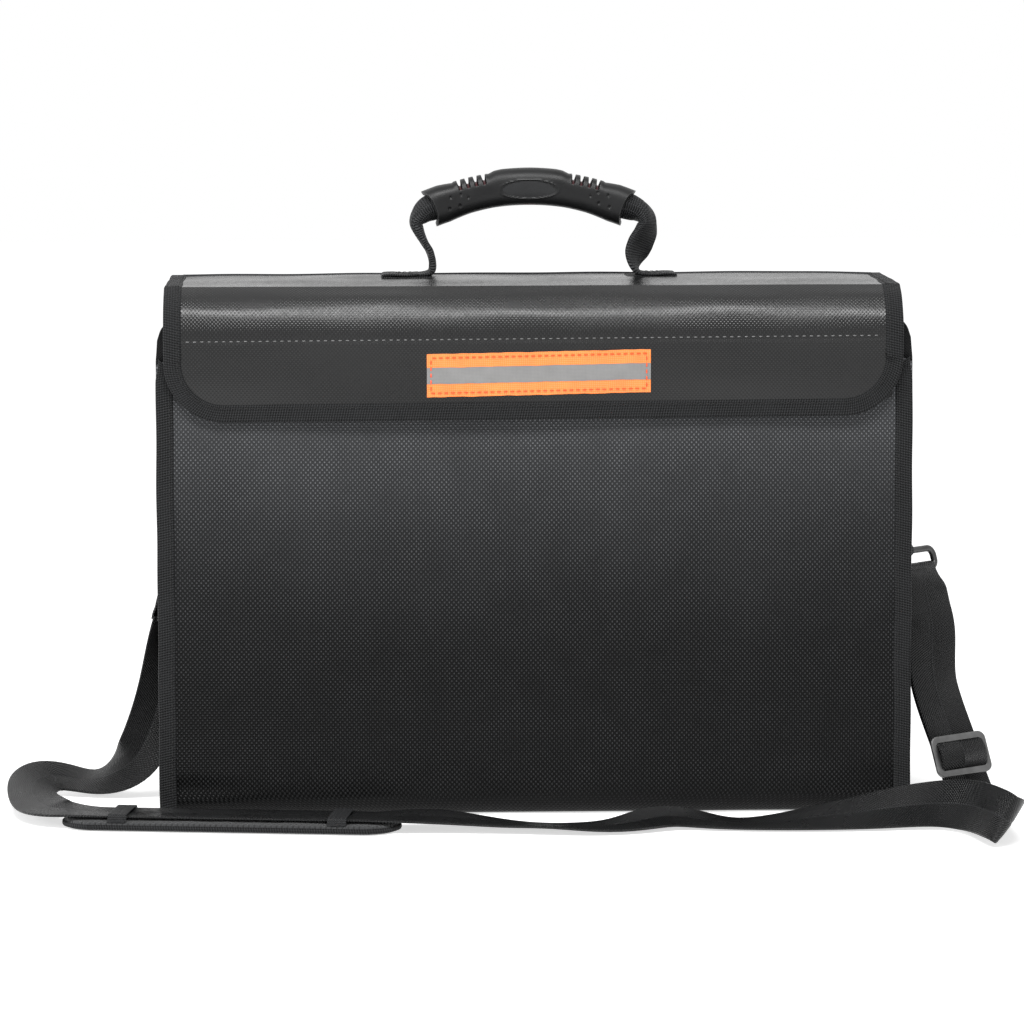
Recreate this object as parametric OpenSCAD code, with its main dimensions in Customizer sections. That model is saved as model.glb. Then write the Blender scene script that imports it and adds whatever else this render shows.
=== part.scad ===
// Soft battery safe bag: a stiffened fire-cloth case with a wrap-over lid and flap, a moulded
// carry grip and a loose shoulder strap. Millimetres, front toward -Y, floor at Z = 0.

/* [Bag] */
// Width over the side bindings
bag_width = 440; // [320:5:560]
// Floor to lid top
bag_height = 310; // [240:5:420]
// Front cloth to back cloth
bag_depth = 130; // [100:5:200]
// Outer cloth with its stiffener
cloth_t = 2; // [1:0.1:3]
// Side panel cloth
gusset_t = 1.5; // [1:0.1:3]
// Heat barrier lining
lining_t = 1.5; // [0.8:0.1:3]
// Radius of the two folds along the floor
floor_fold_r = 11; // [6:1:20]
// How far each side panel bows inward at its middle
gusset_bow = 11; // [4:0.5:18]
// Seam allowance that stands out at each corner, under its binding
flange_w = 10; // [6:0.5:16]
// Lid top down to the top of the side panel ears
ear_drop = 25; // [20:1:60]

/* [Binding] */
// Tape thickness
binding_t = 0.6; // [0.3:0.1:1.2]
// Visible width of the tape on lid and flap
lid_binding_w = 10.5; // [6:0.5:16]
// Lid top down to the end of the front corner bindings
front_binding_drop = 41; // [36:1:90]
// Lid top down to the end of the rear corner bindings
rear_binding_drop = 14; // [10:1:60]
// Floor to the lower end of the corner bindings
binding_foot = 4; // [1:0.5:12]

/* [Lid and flap] */
// Width of lid and flap over their binding
lid_width = 430; // [310:5:550]
// Outer radius of the roll between lid and flap
roll_r = 29; // [18:1:45]
// Lid top down to the lower edge of the flap
flap_drop = 76.5; // [70:0.5:140]
// Radius of the lower corners of the flap
flap_corner_r = 35; // [20:1:60]
// Width of the hook and loop tapes
tape_w = 34; // [20:1:36]
// Lower edge of the flap up to the hook and loop tapes
tape_up = 11.5; // [11:0.5:30]
// Thickness of each hook and loop tape
tape_t = 1.2; // [0.8:0.1:2]

/* [Reflective tape] */
// Length of the sewn strip
reflect_l = 130; // [80:1:200]
// Height of the sewn strip
reflect_h = 25; // [15:0.5:40]
// Height of its silver middle
stripe_h = 9.4; // [5:0.2:16]
// Strip thickness
reflect_t = 0.5; // [0.3:0.1:1]
// Silver film thickness
stripe_t = 0.2; // [0.1:0.05:0.5]
// Lower edge of the flap up to the middle of the strip
reflect_up = 27; // [23:0.5:34]

/* [Handle] */
// Lid top to the top of the grip
handle_rise = 66; // [60:1:90]
// Handle line behind the middle of the bag
handle_y = 24; // [10:1:34]
// Radius of the grip's arch
grip_arch_r = 146; // [120:1:220]
// Half the angle that the grip spans on its arch
grip_half_angle = 24; // [18:0.5:26]
// Half the height of the grip at its middle
grip_half_h = 11; // [10:0.2:14]
// Half the thickness of the grip at its middle
grip_half_t = 10; // [9:0.2:13]
// Wall of the soft outer moulding
grip_wall = 2.6; // [1.6:0.1:3]
// Radius of the bore for the webbing
grip_bore_r = 6.3; // [5:0.1:6.8]
// Finger teeth on each side of the middle
tooth_count = 4; // [2:1:6]
// Distance from tooth to tooth
tooth_pitch = 4.8; // [4:0.1:6]
// Width of the gap between two teeth
tooth_gap = 2.4; // [1.5:0.1:3]
// Middle of the grip to the first gap
tooth_start = 24; // [20:0.5:30]
// Length of the blank oval recess
oval_l = 33; // [20:1:36]
// Height of the blank oval recess
oval_h = 10.6; // [6:0.2:12]
// Depth of the blank oval recess
oval_depth = 0.6; // [0.3:0.1:1]
// Middle of the bag to the foot of each handle leg
leg_x = 57; // [50:1:62]
// Thickness of the webbing at the foot of each leg
leg_t = 5; // [3:0.2:6]
// Radius of the rounded foot of each leg
leg_foot_r = 7; // [5:0.5:9]
// Length of each sewn webbing tail
tail_l = 29; // [20:1:45]
// Width of each sewn webbing tail
tail_w = 25; // [16:1:32]
// Thickness of one webbing layer
tail_t = 1.5; // [1:0.1:2.5]

/* [Rings] */
// Width of each strap ring
ring_w = 39; // [36:1:50]
// Height of each strap ring
ring_h = 15.5; // [15:0.5:24]
// Diameter of the ring wire
ring_bar_d = 4; // [3:0.2:5]
// Radius of the ring corners at the middle of the wire
ring_corner_r = 4.5; // [3:0.5:6]
// Outer edge of the corner bindings out to the middle of the right ring
right_ring_out = 9; // [6:0.5:16]
// Turn of the right ring along the side panel
right_ring_turn = 45; // [40:1:62]
// Lean of the right ring away from the side panel
right_ring_lean = 18; // [6:1:30]
// Outer edge of the corner bindings in to the middle of the left ring
left_ring_in = 9; // [6:0.5:10]
// Turn of the left ring along the side panel
left_ring_turn = 65; // [55:1:80]
// Lean of the left ring away from the side panel
left_ring_lean = 12; // [4:1:24]
// Floor to the upper bar of the ring
ring_z = 147.5; // [140:0.5:220]
// Width of the webbing tab that holds the ring
tab_w = 11; // [8:0.5:12]
// Thickness of the folded tab
tab_t = 2.6; // [2:0.1:3.4]
// Length of the tab that is sewn to the side panel
tab_sewn_l = 22; // [14:1:40]
// Lower end of the sewn length down to the ring's bar
tab_run = 34; // [28:1:48]

/* [Shoulder strap] */
// Width of the strap webbing
strap_w = 30; // [20:1:30]
// Thickness of the strap webbing
strap_t = 1.6; // [1:0.1:1.8]
// Length of the sewn loop below each ring
strap_end_l = 22; // [16:1:24]
// Length of the adjuster frame across the strap
slider_w = 37; // [36:1:46]
// Height of the adjuster frame along the strap
slider_h = 25; // [22:1:28]
// Thickness of the adjuster frame
slider_t = 2.4; // [1.6:0.2:3.4]
// Width of the bars of the adjuster frame
slider_bar = 3.4; // [2.4:0.2:4]

/* [Shoulder pad] */
// Length of the pad
pad_l = 197; // [150:1:240]
// Width of the pad
pad_w = 42; // [38:1:46]
// Height of the pad's crown
pad_t = 6.2; // [4:0.2:6.4]
// Middle of the pad to each strap keeper
keeper_x = 64; // [40:1:75]
// Length of each keeper along the strap
keeper_l = 11; // [6:1:20]
// Thickness of the keeper webbing
keeper_t = 0.9; // [0.6:0.1:1.6]

/* [Fits] */
// Gap between pieces that move against each other
move_gap = 0.3; // [0.2:0.05:0.6]
// Gap between the strap and what it runs through
strap_gap = 0.4; // [0.3:0.05:0.8]

/* [Hidden] */
$fn = 64;

// Places across the bag
flange_x = bag_width / 2 - binding_t;
gusset_x = flange_x - flange_w;
lid_x = lid_width / 2;
lid_cloth_x = lid_x - binding_t;

// Places from front to back: the box of the bag is centred on Y = 0
flap_in = tape_t + move_gap + tape_t;
flap_out = flap_in + cloth_t;
front_stack = flap_out + reflect_t + stripe_t;
front_y = -(bag_depth + binding_t - front_stack) / 2;
back_y = front_y + bag_depth;
flap_y = front_y - flap_out;
fold_y = flap_y + roll_r;
middle_y = (front_y + back_y) / 2;

// Heights
lid_under = bag_height - cloth_t;
back_top = lid_under - lining_t - move_gap;
front_top = bag_height - ear_drop - 2;
flap_z = bag_height - flap_drop;
tape_z = flap_z + tape_up;
reflect_z = flap_z + reflect_up;
front_binding_top = bag_height - front_binding_drop;
rear_binding_top = bag_height - rear_binding_drop;
gusset_top = back_top - 2;
ear_top = bag_height - ear_drop;

// Bowed side panel: an arc about a post outside the bag
gusset_chord = bag_depth - 2 * cloth_t;
gusset_r = (gusset_chord * gusset_chord / 4 + gusset_bow * gusset_bow) / (2 * gusset_bow);
gusset_mid_x = gusset_x - gusset_bow;

// Handle places
pivot_z = bag_height + leg_foot_r + move_gap;
arch_z = bag_height + handle_rise - grip_half_h - grip_arch_r;

// Ring places
right_ring_x = bag_width / 2 + right_ring_out;
left_ring_x = bag_width / 2 - left_ring_in;
ring_bar_r = ring_bar_d / 2;
ring_span = ring_h - ring_bar_d;
tab_bore_r = ring_bar_r + move_gap;
tab_back = ring_w / 2 - ring_bar_r - ring_corner_r - tab_w / 2;

// Strap route, left ring to right ring: middle of the webbing, then the way its marked edge points
strap_route = [
    [-217.9, 3.2, 111.8, -0.423, -0.906, 0],
    [-220, 4.2, 100, -0.5, -0.86, 0.03],
    [-220.5, 3, 68, -0.9, -0.35, 0.05],
    [-228, 3, 41, -0.95, 0.1, 0.25],
    [-237, 5, 23.5, -0.75, 0.25, 0.6],
    [-252, 14, 12.5, 0.1, 0.75, 0.65],
    [-268, 22, 7.2, 0.3, 0.93, 0.2],
    [-285, 26, 11, -0.2, 0.82, 0.5],
    [-295.5, 12, 11, -0.85, 0.3, 0.4],
    [-298, -16, 10, -0.97, -0.08, 0.22],
    [-293.5, -50, 9, -0.92, -0.36, -0.1],
    [-285, -78, 9.4, -0.72, -0.65, -0.18],
    [-270, -84.5, 8.8, -0.2, -0.97, -0.05],
    [-255, -86, 7.6, -0.139, -0.99, 0],
    [-235, -88.8, 7.6, -0.139, -0.99, 0],
    [-110, -106.4, 7.6, -0.139, -0.99, 0],
    [-90, -109.2, 7.6, -0.139, -0.99, 0],
    [-57, -110, 8.2, 0, -0.99, -0.12],
    [-18, -112, 3.4, 0, -0.99, 0.06],
    [9, -118, 3.4, 0, -0.985, 0.12],
    [45, -121, 3, 0, -0.995, -0.08],
    [74, -105, 7, 0, -0.965, -0.26],
    [98, -106, 3.4, 0, -0.99, -0.12],
    [124, -111, 1.8, 0, -1, 0],
    [185, -115, 9, -0.13, -0.86, -0.49],
    [214, -113, 12.4, -0.18, -0.7, -0.69],
    [236, -118, 14.8, -0.25, -0.48, -0.84],
    [249, -138, 16.2, -0.33, -0.12, -0.94],
    [255.5, -174, 15.2, -0.45, -0.08, -0.89],
    [259.8, -183, 15.2, -0.5, -0.03, -0.86],
    [262.8, -176, 14, -0.56, 0.03, -0.83],
    [261.5, -150, 9.8, -0.8, 0.08, -0.56],
    [259.5, -114, 6.2, -0.94, 0.08, -0.3],
    [257, -84, 5.4, -0.94, -0.2, -0.24],
    [257.5, -63, 5, -0.92, -0.3, -0.2],
    [258.5, -51.75, 8.25, -0.885, -0.434, -0.168],
    [256, -49.5, 15.5, -0.885, -0.434, -0.168],
    [251, -45, 30, -0.885, -0.434, -0.168],
    [246, -40.5, 44.5, -0.885, -0.434, -0.168],
    [241, -36, 59, -0.885, -0.434, -0.168],
    [237.5, -26, 74, -0.89, -0.45, -0.1],
    [238, -16, 89, -0.86, -0.5, -0.02],
    [239, -10.2, 102.9, -0.76, -0.65, 0],
    [237.1, -8.1, 112.2, -0.707, -0.707, 0]
];
// Row of the route at the middle of the adjuster
slider_row = 37;
strap_steps = 2;
// Gap between the strap and the doubled length on its front
tail_gap = 2 * move_gap;

// Pad place on the straight stretch of the strap
pad_middle = [-177, -97, 0];
pad_turn = -8;
strap_over_pad = 7.6;

// Drawing helpers

// A drawing of (y, z), drawn out from x0 to x1
module along_x(x0, x1) {
    translate([x0, 0, 0])
        rotate([90, 0, 90])
            linear_extrude(height = x1 - x0)
                children();
}

// A drawing of (x, z), drawn out from y0 to y1
module along_y(y0, y1) {
    translate([0, y1, 0])
        rotate([90, 0, 0])
            linear_extrude(height = y1 - y0)
                children();
}

module at_right() {
    children();
}

module at_left() {
    mirror([1, 0, 0])
        children();
}

// Front to back swap about the middle of the bag
module at_rear() {
    translate([0, 2 * middle_y, 0])
        mirror([0, 1, 0])
            children();
}

// One solid through a list of equal rings of points, closed at both ends
module skin(rings) {
    n = len(rings[0]);
    m = len(rings);
    points = [for (ring = rings) each ring];
    sides = [for (i = [0:m - 2]) for (j = [0:n - 1])
        let (a = i * n + j, b = i * n + (j + 1) % n)
        each 2 * j < n
            ? [[a, b, b + n], [a, b + n, a + n]]
            : [[a, b, a + n], [b, b + n, a + n]]];
    first_cap = [for (j = [1:n - 2]) [0, j + 1, j]];
    last_cap = [for (j = [1:n - 2]) (m - 1) * n * [1, 1, 1] + [0, j, j + 1]];
    polyhedron(points = points, faces = concat(sides, first_cap, last_cap), convexity = 8);
}

// One hollow solid between two lists of equal rings, open at both ends
module tube_skin(outer, inner) {
    n = len(outer[0]);
    m = len(outer);
    points = [for (ring = concat(outer, inner)) each ring];
    s = n * m;
    walls = [for (i = [0:m - 2]) for (j = [0:n - 1])
        let (a = i * n + j, b = i * n + (j + 1) % n)
        each [[a, b, b + n], [a, b + n, a + n],
              [s + a, s + b + n, s + b], [s + a, s + a + n, s + b + n]]];
    ends = [for (j = [0:n - 1])
        let (k = (j + 1) % n, e = (m - 1) * n)
        each [[j, s + j, s + k], [j, s + k, k],
              [e + j, e + s + k, e + s + j], [e + j, e + k, e + s + k]]];
    polyhedron(points = points, faces = concat(walls, ends), convexity = 8);
}

// Smooth curve through four rows of a list, t from 0 to 1 between the middle two
function smooth(a, b, c, d, t) =
    0.5 * (2 * b + (c - a) * t + (2 * a - 5 * b + 4 * c - d) * t * t + (3 * b - a - 3 * c + d) * t * t * t);

function smooth_rows(rows, steps) =
    let (n = len(rows))
    [for (i = [0:n - 2]) for (k = [0:steps - 1])
        smooth(rows[max(i - 1, 0)], rows[i], rows[i + 1], rows[min(i + 2, n - 1)], k / steps),
     rows[n - 1]];

function place(row) = [row[0], row[1], row[2]];
function edge_way(row) = [row[3], row[4], row[5]];
function unit(v) = v / norm(v);

// Corner points of flat webbing along a list of rows, lifted off its middle by lift
function webbing_rings(rows, width, thick, lift = 0) =
    let (n = len(rows))
    [for (i = [0:n - 1])
        let (t = unit(place(rows[min(i + 1, n - 1)]) - place(rows[max(i - 1, 0)])),
             e = edge_way(rows[i]),
             w = unit(e - (e * t) * t),
             f = cross(t, w),
             c = place(rows[i]) + lift * f)
        [c + width / 2 * w + thick / 2 * f,
         c + width / 2 * w - thick / 2 * f,
         c - width / 2 * w - thick / 2 * f,
         c - width / 2 * w + thick / 2 * f]];

// Body of the bag

// Section of a wall that turns under the bag, its outer face on u = 0
module wall_section(top) {
    translate([0, floor_fold_r])
        square([cloth_t, top - floor_fold_r]);
    intersection() {
        translate([floor_fold_r, floor_fold_r])
            difference() {
                circle(r = floor_fold_r);
                circle(r = floor_fold_r - cloth_t);
            }
        square(floor_fold_r);
    }
}

module wall(top, flange_top) {
    along_x(-gusset_x, gusset_x)
        translate([front_y, 0])
            wall_section(top);
    translate([-flange_x, front_y, floor_fold_r])
        cube([2 * flange_x, cloth_t, flange_top - floor_fold_r]);
}

module front_panel() {
    color("#33353a")
        wall(front_top, front_binding_top);
}

module back_panel() {
    color("#33353a")
        at_rear()
            wall(back_top, rear_binding_top);
}

module base_panel() {
    color("#2c2e32")
        translate([-gusset_x, front_y + floor_fold_r, 0])
            cube([2 * gusset_x, bag_depth - 2 * floor_fold_r, cloth_t]);
}

// Outline of a side panel in (y, z), drawn in from the outer cloth
module side_outline(inset, top) {
    y0 = front_y + inset;
    y1 = back_y - inset;
    low_r = max(floor_fold_r - inset, 1);
    high_r = roll_r - flap_out - inset;
    difference() {
        translate([y0, inset])
            square([y1 - y0, top - inset]);
        for (side = [0, 1])
            translate([side == 0 ? y0 : y1, inset])
                difference() {
                    translate([-low_r, -low_r])
                        square(2 * low_r);
                    translate([side == 0 ? low_r : -low_r, low_r])
                        circle(r = low_r);
                    translate([side == 0 ? low_r : -2 * low_r, -low_r])
                        square([low_r, 3 * low_r]);
                    translate([-2 * low_r, low_r])
                        square(4 * low_r);
                }
        translate([y0, top])
            difference() {
                translate([-1, -high_r])
                    square([high_r + 1, high_r + 1]);
                translate([high_r, -high_r])
                    circle(r = high_r);
            }
    }
}

// Bowed sheet of a side panel: from the outer face inward between two depths
module bowed_sheet(depth0, depth1, inset, top) {
    intersection() {
        translate([gusset_mid_x + gusset_r, middle_y, 0])
            difference() {
                cylinder(r = gusset_r + depth1, h = top, $fn = 128);
                translate([0, 0, -1])
                    cylinder(r = gusset_r + depth0, h = top + 2, $fn = 128);
            }
        along_x(gusset_mid_x - 3 * depth1, gusset_x + 1)
            side_outline(inset, top);
    }
}

// Seam allowance of a side panel at the front, with its loose ear above the binding
module front_seam_allowance() {
    y0 = front_y + cloth_t;
    inner = gusset_x - gusset_t;
    translate([inner, y0, floor_fold_r])
        cube([flange_x - inner, gusset_t, front_binding_top - floor_fold_r]);
    along_y(y0, y0 + gusset_t)
        polygon([
            [inner, front_binding_top],
            [flange_x, front_binding_top],
            [flange_x - 0.1 * flange_w, (front_binding_top + ear_top) / 2],
            [flange_x - 0.5 * flange_w, ear_top],
            [inner, ear_top]
        ]);
}

module rear_seam_allowance() {
    inner = gusset_x - gusset_t;
    translate([inner, back_y - cloth_t - gusset_t, floor_fold_r])
        cube([flange_x - inner, gusset_t, rear_binding_top - floor_fold_r]);
}

module gusset() {
    color("#2e3034") {
        bowed_sheet(0, gusset_t, cloth_t, gusset_top);
        front_seam_allowance();
        rear_seam_allowance();
    }
}

module left_gusset() {
    at_left() gusset();
}

module right_gusset() {
    at_right() gusset();
}

// Linings

lining_inset = cloth_t + lining_t;
lining_x = gusset_mid_x - gusset_t - lining_t - move_gap;
lid_lining_x = min(lining_x, lid_x - lid_binding_w - move_gap);

module front_lining() {
    color("#b9bcc0")
        translate([-lining_x, front_y + cloth_t, floor_fold_r])
            cube([2 * lining_x, lining_t, front_top - floor_fold_r]);
}

module back_lining() {
    color("#b9bcc0")
        translate([-lining_x, back_y - cloth_t - lining_t, floor_fold_r])
            cube([2 * lining_x, lining_t, back_top - floor_fold_r]);
}

module base_lining() {
    color("#b9bcc0")
        translate([-lining_x, front_y + floor_fold_r, cloth_t])
            cube([2 * lining_x, bag_depth - 2 * floor_fold_r, lining_t]);
}

module side_lining() {
    color("#b9bcc0")
        bowed_sheet(gusset_t, gusset_t + lining_t, floor_fold_r, gusset_top);
}

module left_lining() {
    at_left() side_lining();
}

module right_lining() {
    at_right() side_lining();
}

// Corner bindings: tape folded round the two layers of each seam
module corner_binding(top) {
    layers = cloth_t + gusset_t;
    color("#1f2023")
        translate([gusset_x, front_y - binding_t, binding_foot])
            difference() {
                cube([flange_w + binding_t, layers + 2 * binding_t, top - binding_foot]);
                translate([-1, binding_t, -1])
                    cube([flange_w + 1, layers, top - binding_foot + 2]);
            }
}

module left_front_binding() {
    at_left() corner_binding(front_binding_top);
}

module right_front_binding() {
    at_right() corner_binding(front_binding_top);
}

module left_rear_binding() {
    at_rear() at_left() corner_binding(rear_binding_top);
}

module right_rear_binding() {
    at_rear() at_right() corner_binding(rear_binding_top);
}

module loop_tape() {
    color("#17181a")
        translate([-gusset_x + binding_t, front_y - tape_t, tape_z])
            cube([2 * (gusset_x - binding_t), tape_t, tape_w]);
}

// Lid

module lid_panel() {
    color("#3a3c41")
        translate([-lid_cloth_x, fold_y + move_gap, lid_under])
            cube([2 * lid_cloth_x, back_y - fold_y - move_gap, cloth_t]);
}

module lid_lining() {
    color("#b9bcc0")
        translate([-lid_lining_x, fold_y + move_gap, lid_under - lining_t])
            cube([2 * lid_lining_x, back_y - cloth_t - fold_y - move_gap, lining_t]);
}

module lid_binding() {
    color("#1f2023")
        translate([lid_x - lid_binding_w, fold_y + move_gap, lid_under - binding_t])
            difference() {
                cube([lid_binding_w, back_y - fold_y - move_gap, cloth_t + 2 * binding_t]);
                translate([-1, -1, binding_t])
                    cube([lid_binding_w + 1 - binding_t, bag_depth, cloth_t]);
            }
}

module left_lid_binding() {
    at_left() lid_binding();
}

module right_lid_binding() {
    at_right() lid_binding();
}

module handle_tail() {
    color("#18191b")
        translate([leg_x + leg_t / 2 + move_gap, handle_y - tail_w / 2, bag_height]) {
            cube([tail_l, tail_w, tail_t]);
            translate([0, 0, tail_t])
                cube([tail_l - 2 * tail_t, tail_w, tail_t]);
        }
}

module left_handle_tail() {
    at_left() handle_tail();
}

module right_handle_tail() {
    at_right() handle_tail();
}

// Flap

// Outline of the flap in (x, z), drawn in from its bound edge
module flap_outline(inset) {
    r = flap_corner_r - inset;
    half = lid_x - inset;
    low = flap_z + inset;
    translate([-half, low + r])
        square([2 * half, bag_height + binding_t - low - r + 1]);
    translate([-half + r, low])
        square([2 * (half - r), r + 1]);
    for (side = [-1, 1])
        translate([side * (half - r), low + r])
            circle(r = r);
}

// Section of roll and flap in (y, z), grown by grow on both faces
module flap_section(grow) {
    translate([flap_y - grow, flap_z])
        square([cloth_t + 2 * grow, bag_height - roll_r - flap_z]);
    translate([fold_y, bag_height - roll_r])
        intersection() {
            difference() {
                circle(r = roll_r + grow, $fn = 96);
                circle(r = roll_r - cloth_t - grow, $fn = 96);
            }
            translate([-2 * roll_r, 0])
                square(2 * roll_r);
        }
}

module flap_sheet(grow, inset) {
    intersection() {
        along_x(-lid_x + inset, lid_x - inset)
            flap_section(grow);
        along_y(flap_y - 2, fold_y + 2)
            flap_outline(inset);
    }
}

module flap_panel() {
    color("#3a3c41")
        flap_sheet(0, binding_t);
}

module flap_binding() {
    color("#1f2023")
        difference() {
            flap_sheet(binding_t, 0);
            flap_sheet(0, binding_t);
            along_y(flap_y - 3, fold_y + 3)
                flap_outline(lid_binding_w);
        }
}

module hook_tape() {
    color("#17181a")
        along_y(flap_y + cloth_t, flap_y + cloth_t + tape_t)
            intersection() {
                flap_outline(lid_binding_w + move_gap);
                translate([-lid_x, tape_z])
                    square([2 * lid_x, tape_w]);
            }
}

module reflective_tape() {
    color("#ff8a35")
        translate([-reflect_l / 2, flap_y - reflect_t, reflect_z - reflect_h / 2])
            cube([reflect_l, reflect_t, reflect_h]);
}

module silver_stripe() {
    color("#a5a7a6")
        translate([-reflect_l / 2, flap_y - reflect_t - stripe_t, reflect_z - stripe_h / 2])
            cube([reflect_l, stripe_t, stripe_h]);
}

// Handle

grip_sides = 24;
grip_stations = 12;

// Rise of the moulding at a share of the way from its middle to its end
function grip_up(s) = grip_half_h + 1.2 * s * s * s;
function grip_down(s) = grip_half_h + 2.2 * s * s;
function grip_side(s) = grip_half_t + 1.5 * pow(s, 6) - 0.5 * s * (1 - s);

// Point on a rounded box section, at turn a, for its half sizes
function rounded(a, side, up, down) =
    let (c = cos(a), s = sin(a))
    [side * sign(c) * pow(abs(c), 0.75), (s > 0 ? up : down) * sign(s) * pow(abs(s), 0.75)];

// Ring of points on the arch at an angle from its crown
function arch_ring(angle, side, up, down, sides) =
    [for (k = [0:sides - 1])
        let (p = rounded(k * 360 / sides, side, up, down), r = grip_arch_r + p[1])
        [r * sin(angle), handle_y - p[0], arch_z + r * cos(angle)]];

function grip_rings(wall, mouth) =
    [for (i = [-grip_stations:grip_stations])
        let (s = abs(i) / grip_stations, flare = mouth * pow(s, 10))
        arch_ring(grip_half_angle * i / grip_stations,
                  grip_side(s) - wall + flare,
                  grip_up(s) - wall + flare,
                  grip_down(s) - wall + flare,
                  grip_sides)];

function bore_rings() =
    [for (i = [-grip_stations:grip_stations])
        let (s = abs(i) / grip_stations, r = grip_bore_r + 1.6 * pow(s, 10))
        arch_ring(grip_half_angle * i / grip_stations, r, r, r, grip_sides)];

// Place on the crown of the arch, a distance along it from the middle
module on_arch(along) {
    translate([0, handle_y, arch_z])
        rotate([0, along / grip_arch_r * 180 / PI, 0])
            translate([0, 0, grip_arch_r])
                children();
}

module handle_grip() {
    color("#232427")
        difference() {
            tube_skin(grip_rings(0, 0), grip_rings(grip_wall, 0));
            for (side = [-1, 1]) for (k = [0:tooth_count - 1])
                on_arch(side * (tooth_start + k * tooth_pitch))
                    translate([-tooth_gap / 2, -2 * grip_half_t, grip_half_h - grip_wall])
                        cube([tooth_gap, 4 * grip_half_t, 2 * grip_wall]);
            for (face = [-1, 1])
                on_arch(0)
                    translate([0, face * (grip_half_t + 1), 0])
                        rotate([90, 0, 0])
                            scale([oval_l / oval_h, 1, 1])
                                cylinder(d = oval_h, h = 2 * (oval_depth + 1), center = true, $fn = 32);
        }
}

module grip_core() {
    color("#3a1d1c")
        tube_skin(grip_rings(grip_wall, 0), bore_rings());
}

// Height of the grip's ends over the pivot line
leg_rise = arch_z + grip_arch_r * cos(grip_half_angle) - pivot_z;

// Webbing of one leg: across, share of the rise, half sizes in and across the bag
leg_path = [
    [8.4, 1.016, 5.6, 5.8],
    [9.6, 0.85, 5, 6.8],
    [7, 0.61, 3.8, 7.6],
    [3, 0.385, 2.9, 7.6],
    [0.6, 0.18, 2.5, 7.2],
    [0, 0, 2.5, 6.6]
];

function leg_points() =
    [for (row = smooth_rows(leg_path, 2)) [leg_x + row[0], pivot_z + leg_rise * row[1], row[2], row[3]]];

function leg_rings(mirrored) =
    let (rows = leg_points(), n = len(rows))
    [for (i = [0:n - 1])
        let (a = rows[max(i - 1, 0)], b = rows[min(i + 1, n - 1)],
             t = unit([b[0] - a[0], b[1] - a[1]]))
        [for (k = [0:15])
            let (p = rounded(k * 22.5, rows[i][3], rows[i][2], rows[i][2]))
            [mirrored * (rows[i][0] - p[1] * t[1]), handle_y - p[0], rows[i][1] + p[1] * t[0]]]];

function core_rings() =
    [for (i = [-8:8])
        let (r = grip_bore_r - move_gap)
        arch_ring((grip_half_angle + 0.2) * i / 8, r, r, r, 16)];

function reversed(list) = [for (i = [len(list) - 1:-1:0]) list[i]];

module handle_webbing() {
    color("#18191b") {
        skin(concat(reversed(leg_rings(-1)), core_rings(), leg_rings(1)));
        for (side = [-1, 1])
            translate([side * leg_x, handle_y, pivot_z])
                rotate([0, 90, 0])
                    cylinder(r = leg_foot_r, h = leg_t, center = true);
    }
}

// Rings and what they hang from

module at_right_ring() {
    translate([right_ring_x, 0, ring_z])
        rotate([-right_ring_lean, 0, right_ring_turn])
            children();
}

module at_left_ring() {
    translate([-left_ring_x, 0, ring_z])
        rotate([left_ring_lean, 0, left_ring_turn])
            children();
}

module ring() {
    half_w = (ring_w - ring_bar_d) / 2;
    run = half_w - ring_corner_r;
    drop = ring_span - 2 * ring_corner_r;
    color("#4a4c50")
        rotate([90, 0, 0]) {
            for (z = [0, -ring_span])
                translate([-run, z, 0])
                    rotate([0, 90, 0])
                        cylinder(r = ring_bar_r, h = 2 * run);
            for (side = [-1, 1])
                translate([side * half_w, -ring_corner_r, 0])
                    rotate([90, 0, 0])
                        cylinder(r = ring_bar_r, h = drop);
            for (side = [-1, 1]) for (low = [0, 1])
                translate([side * run, low == 0 ? -ring_corner_r : ring_corner_r - ring_span, 0])
                    rotate([0, 0, side == 1 ? (low == 0 ? 0 : 270) : (low == 0 ? 90 : 180)])
                        rotate_extrude(angle = 90)
                            translate([ring_corner_r, 0])
                                circle(r = ring_bar_r);
        }
}

module left_ring() {
    at_left_ring() ring();
}

module right_ring() {
    at_right_ring() ring();
}

// Row of a tab: a share of the way from the side panel to the ring, at a height above its bar
function tab_row(end, turn, share, up) =
    let (flat_x = gusset_mid_x + tab_t / 2 + move_gap, a = 90 + (turn - 90) * share)
    [flat_x + (end[0] - flat_x) * share, end[1] * share, ring_z + up, cos(a), sin(a), 0];

// Tab route: the sewn end lies flat on the side panel and turns to the ring's bar
function tab_route(end, turn) =
    [for (step = [[0, tab_run + tab_sewn_l], [0, tab_run], [0.12, 0.76 * tab_run], [0.5, 0.53 * tab_run],
                  [0.88, 0.3 * tab_run], [1, 1.5 * ring_bar_r]])
        tab_row(end, turn, step[0], step[1])];

module ring_tab(end, turn) {
    color("#18191b")
        difference() {
            union() {
                skin(webbing_rings(smooth_rows(tab_route(end, turn), 3), tab_w, tab_t));
                translate([end[0], end[1], ring_z])
                    rotate([0, 90, turn])
                        cylinder(r = tab_bore_r + tab_t / 2, h = tab_w, center = true);
            }
            translate([end[0], end[1], ring_z])
                rotate([0, 90, turn])
                    cylinder(r = tab_bore_r, h = 2 * tab_w, center = true);
        }
}

module left_ring_tab() {
    at_left() ring_tab([left_ring_x, 0], 180 - left_ring_turn);
}

module right_ring_tab() {
    back = tab_back * [cos(right_ring_turn), sin(right_ring_turn)];
    at_right() ring_tab([right_ring_x, 0] - back, right_ring_turn);
}

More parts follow.
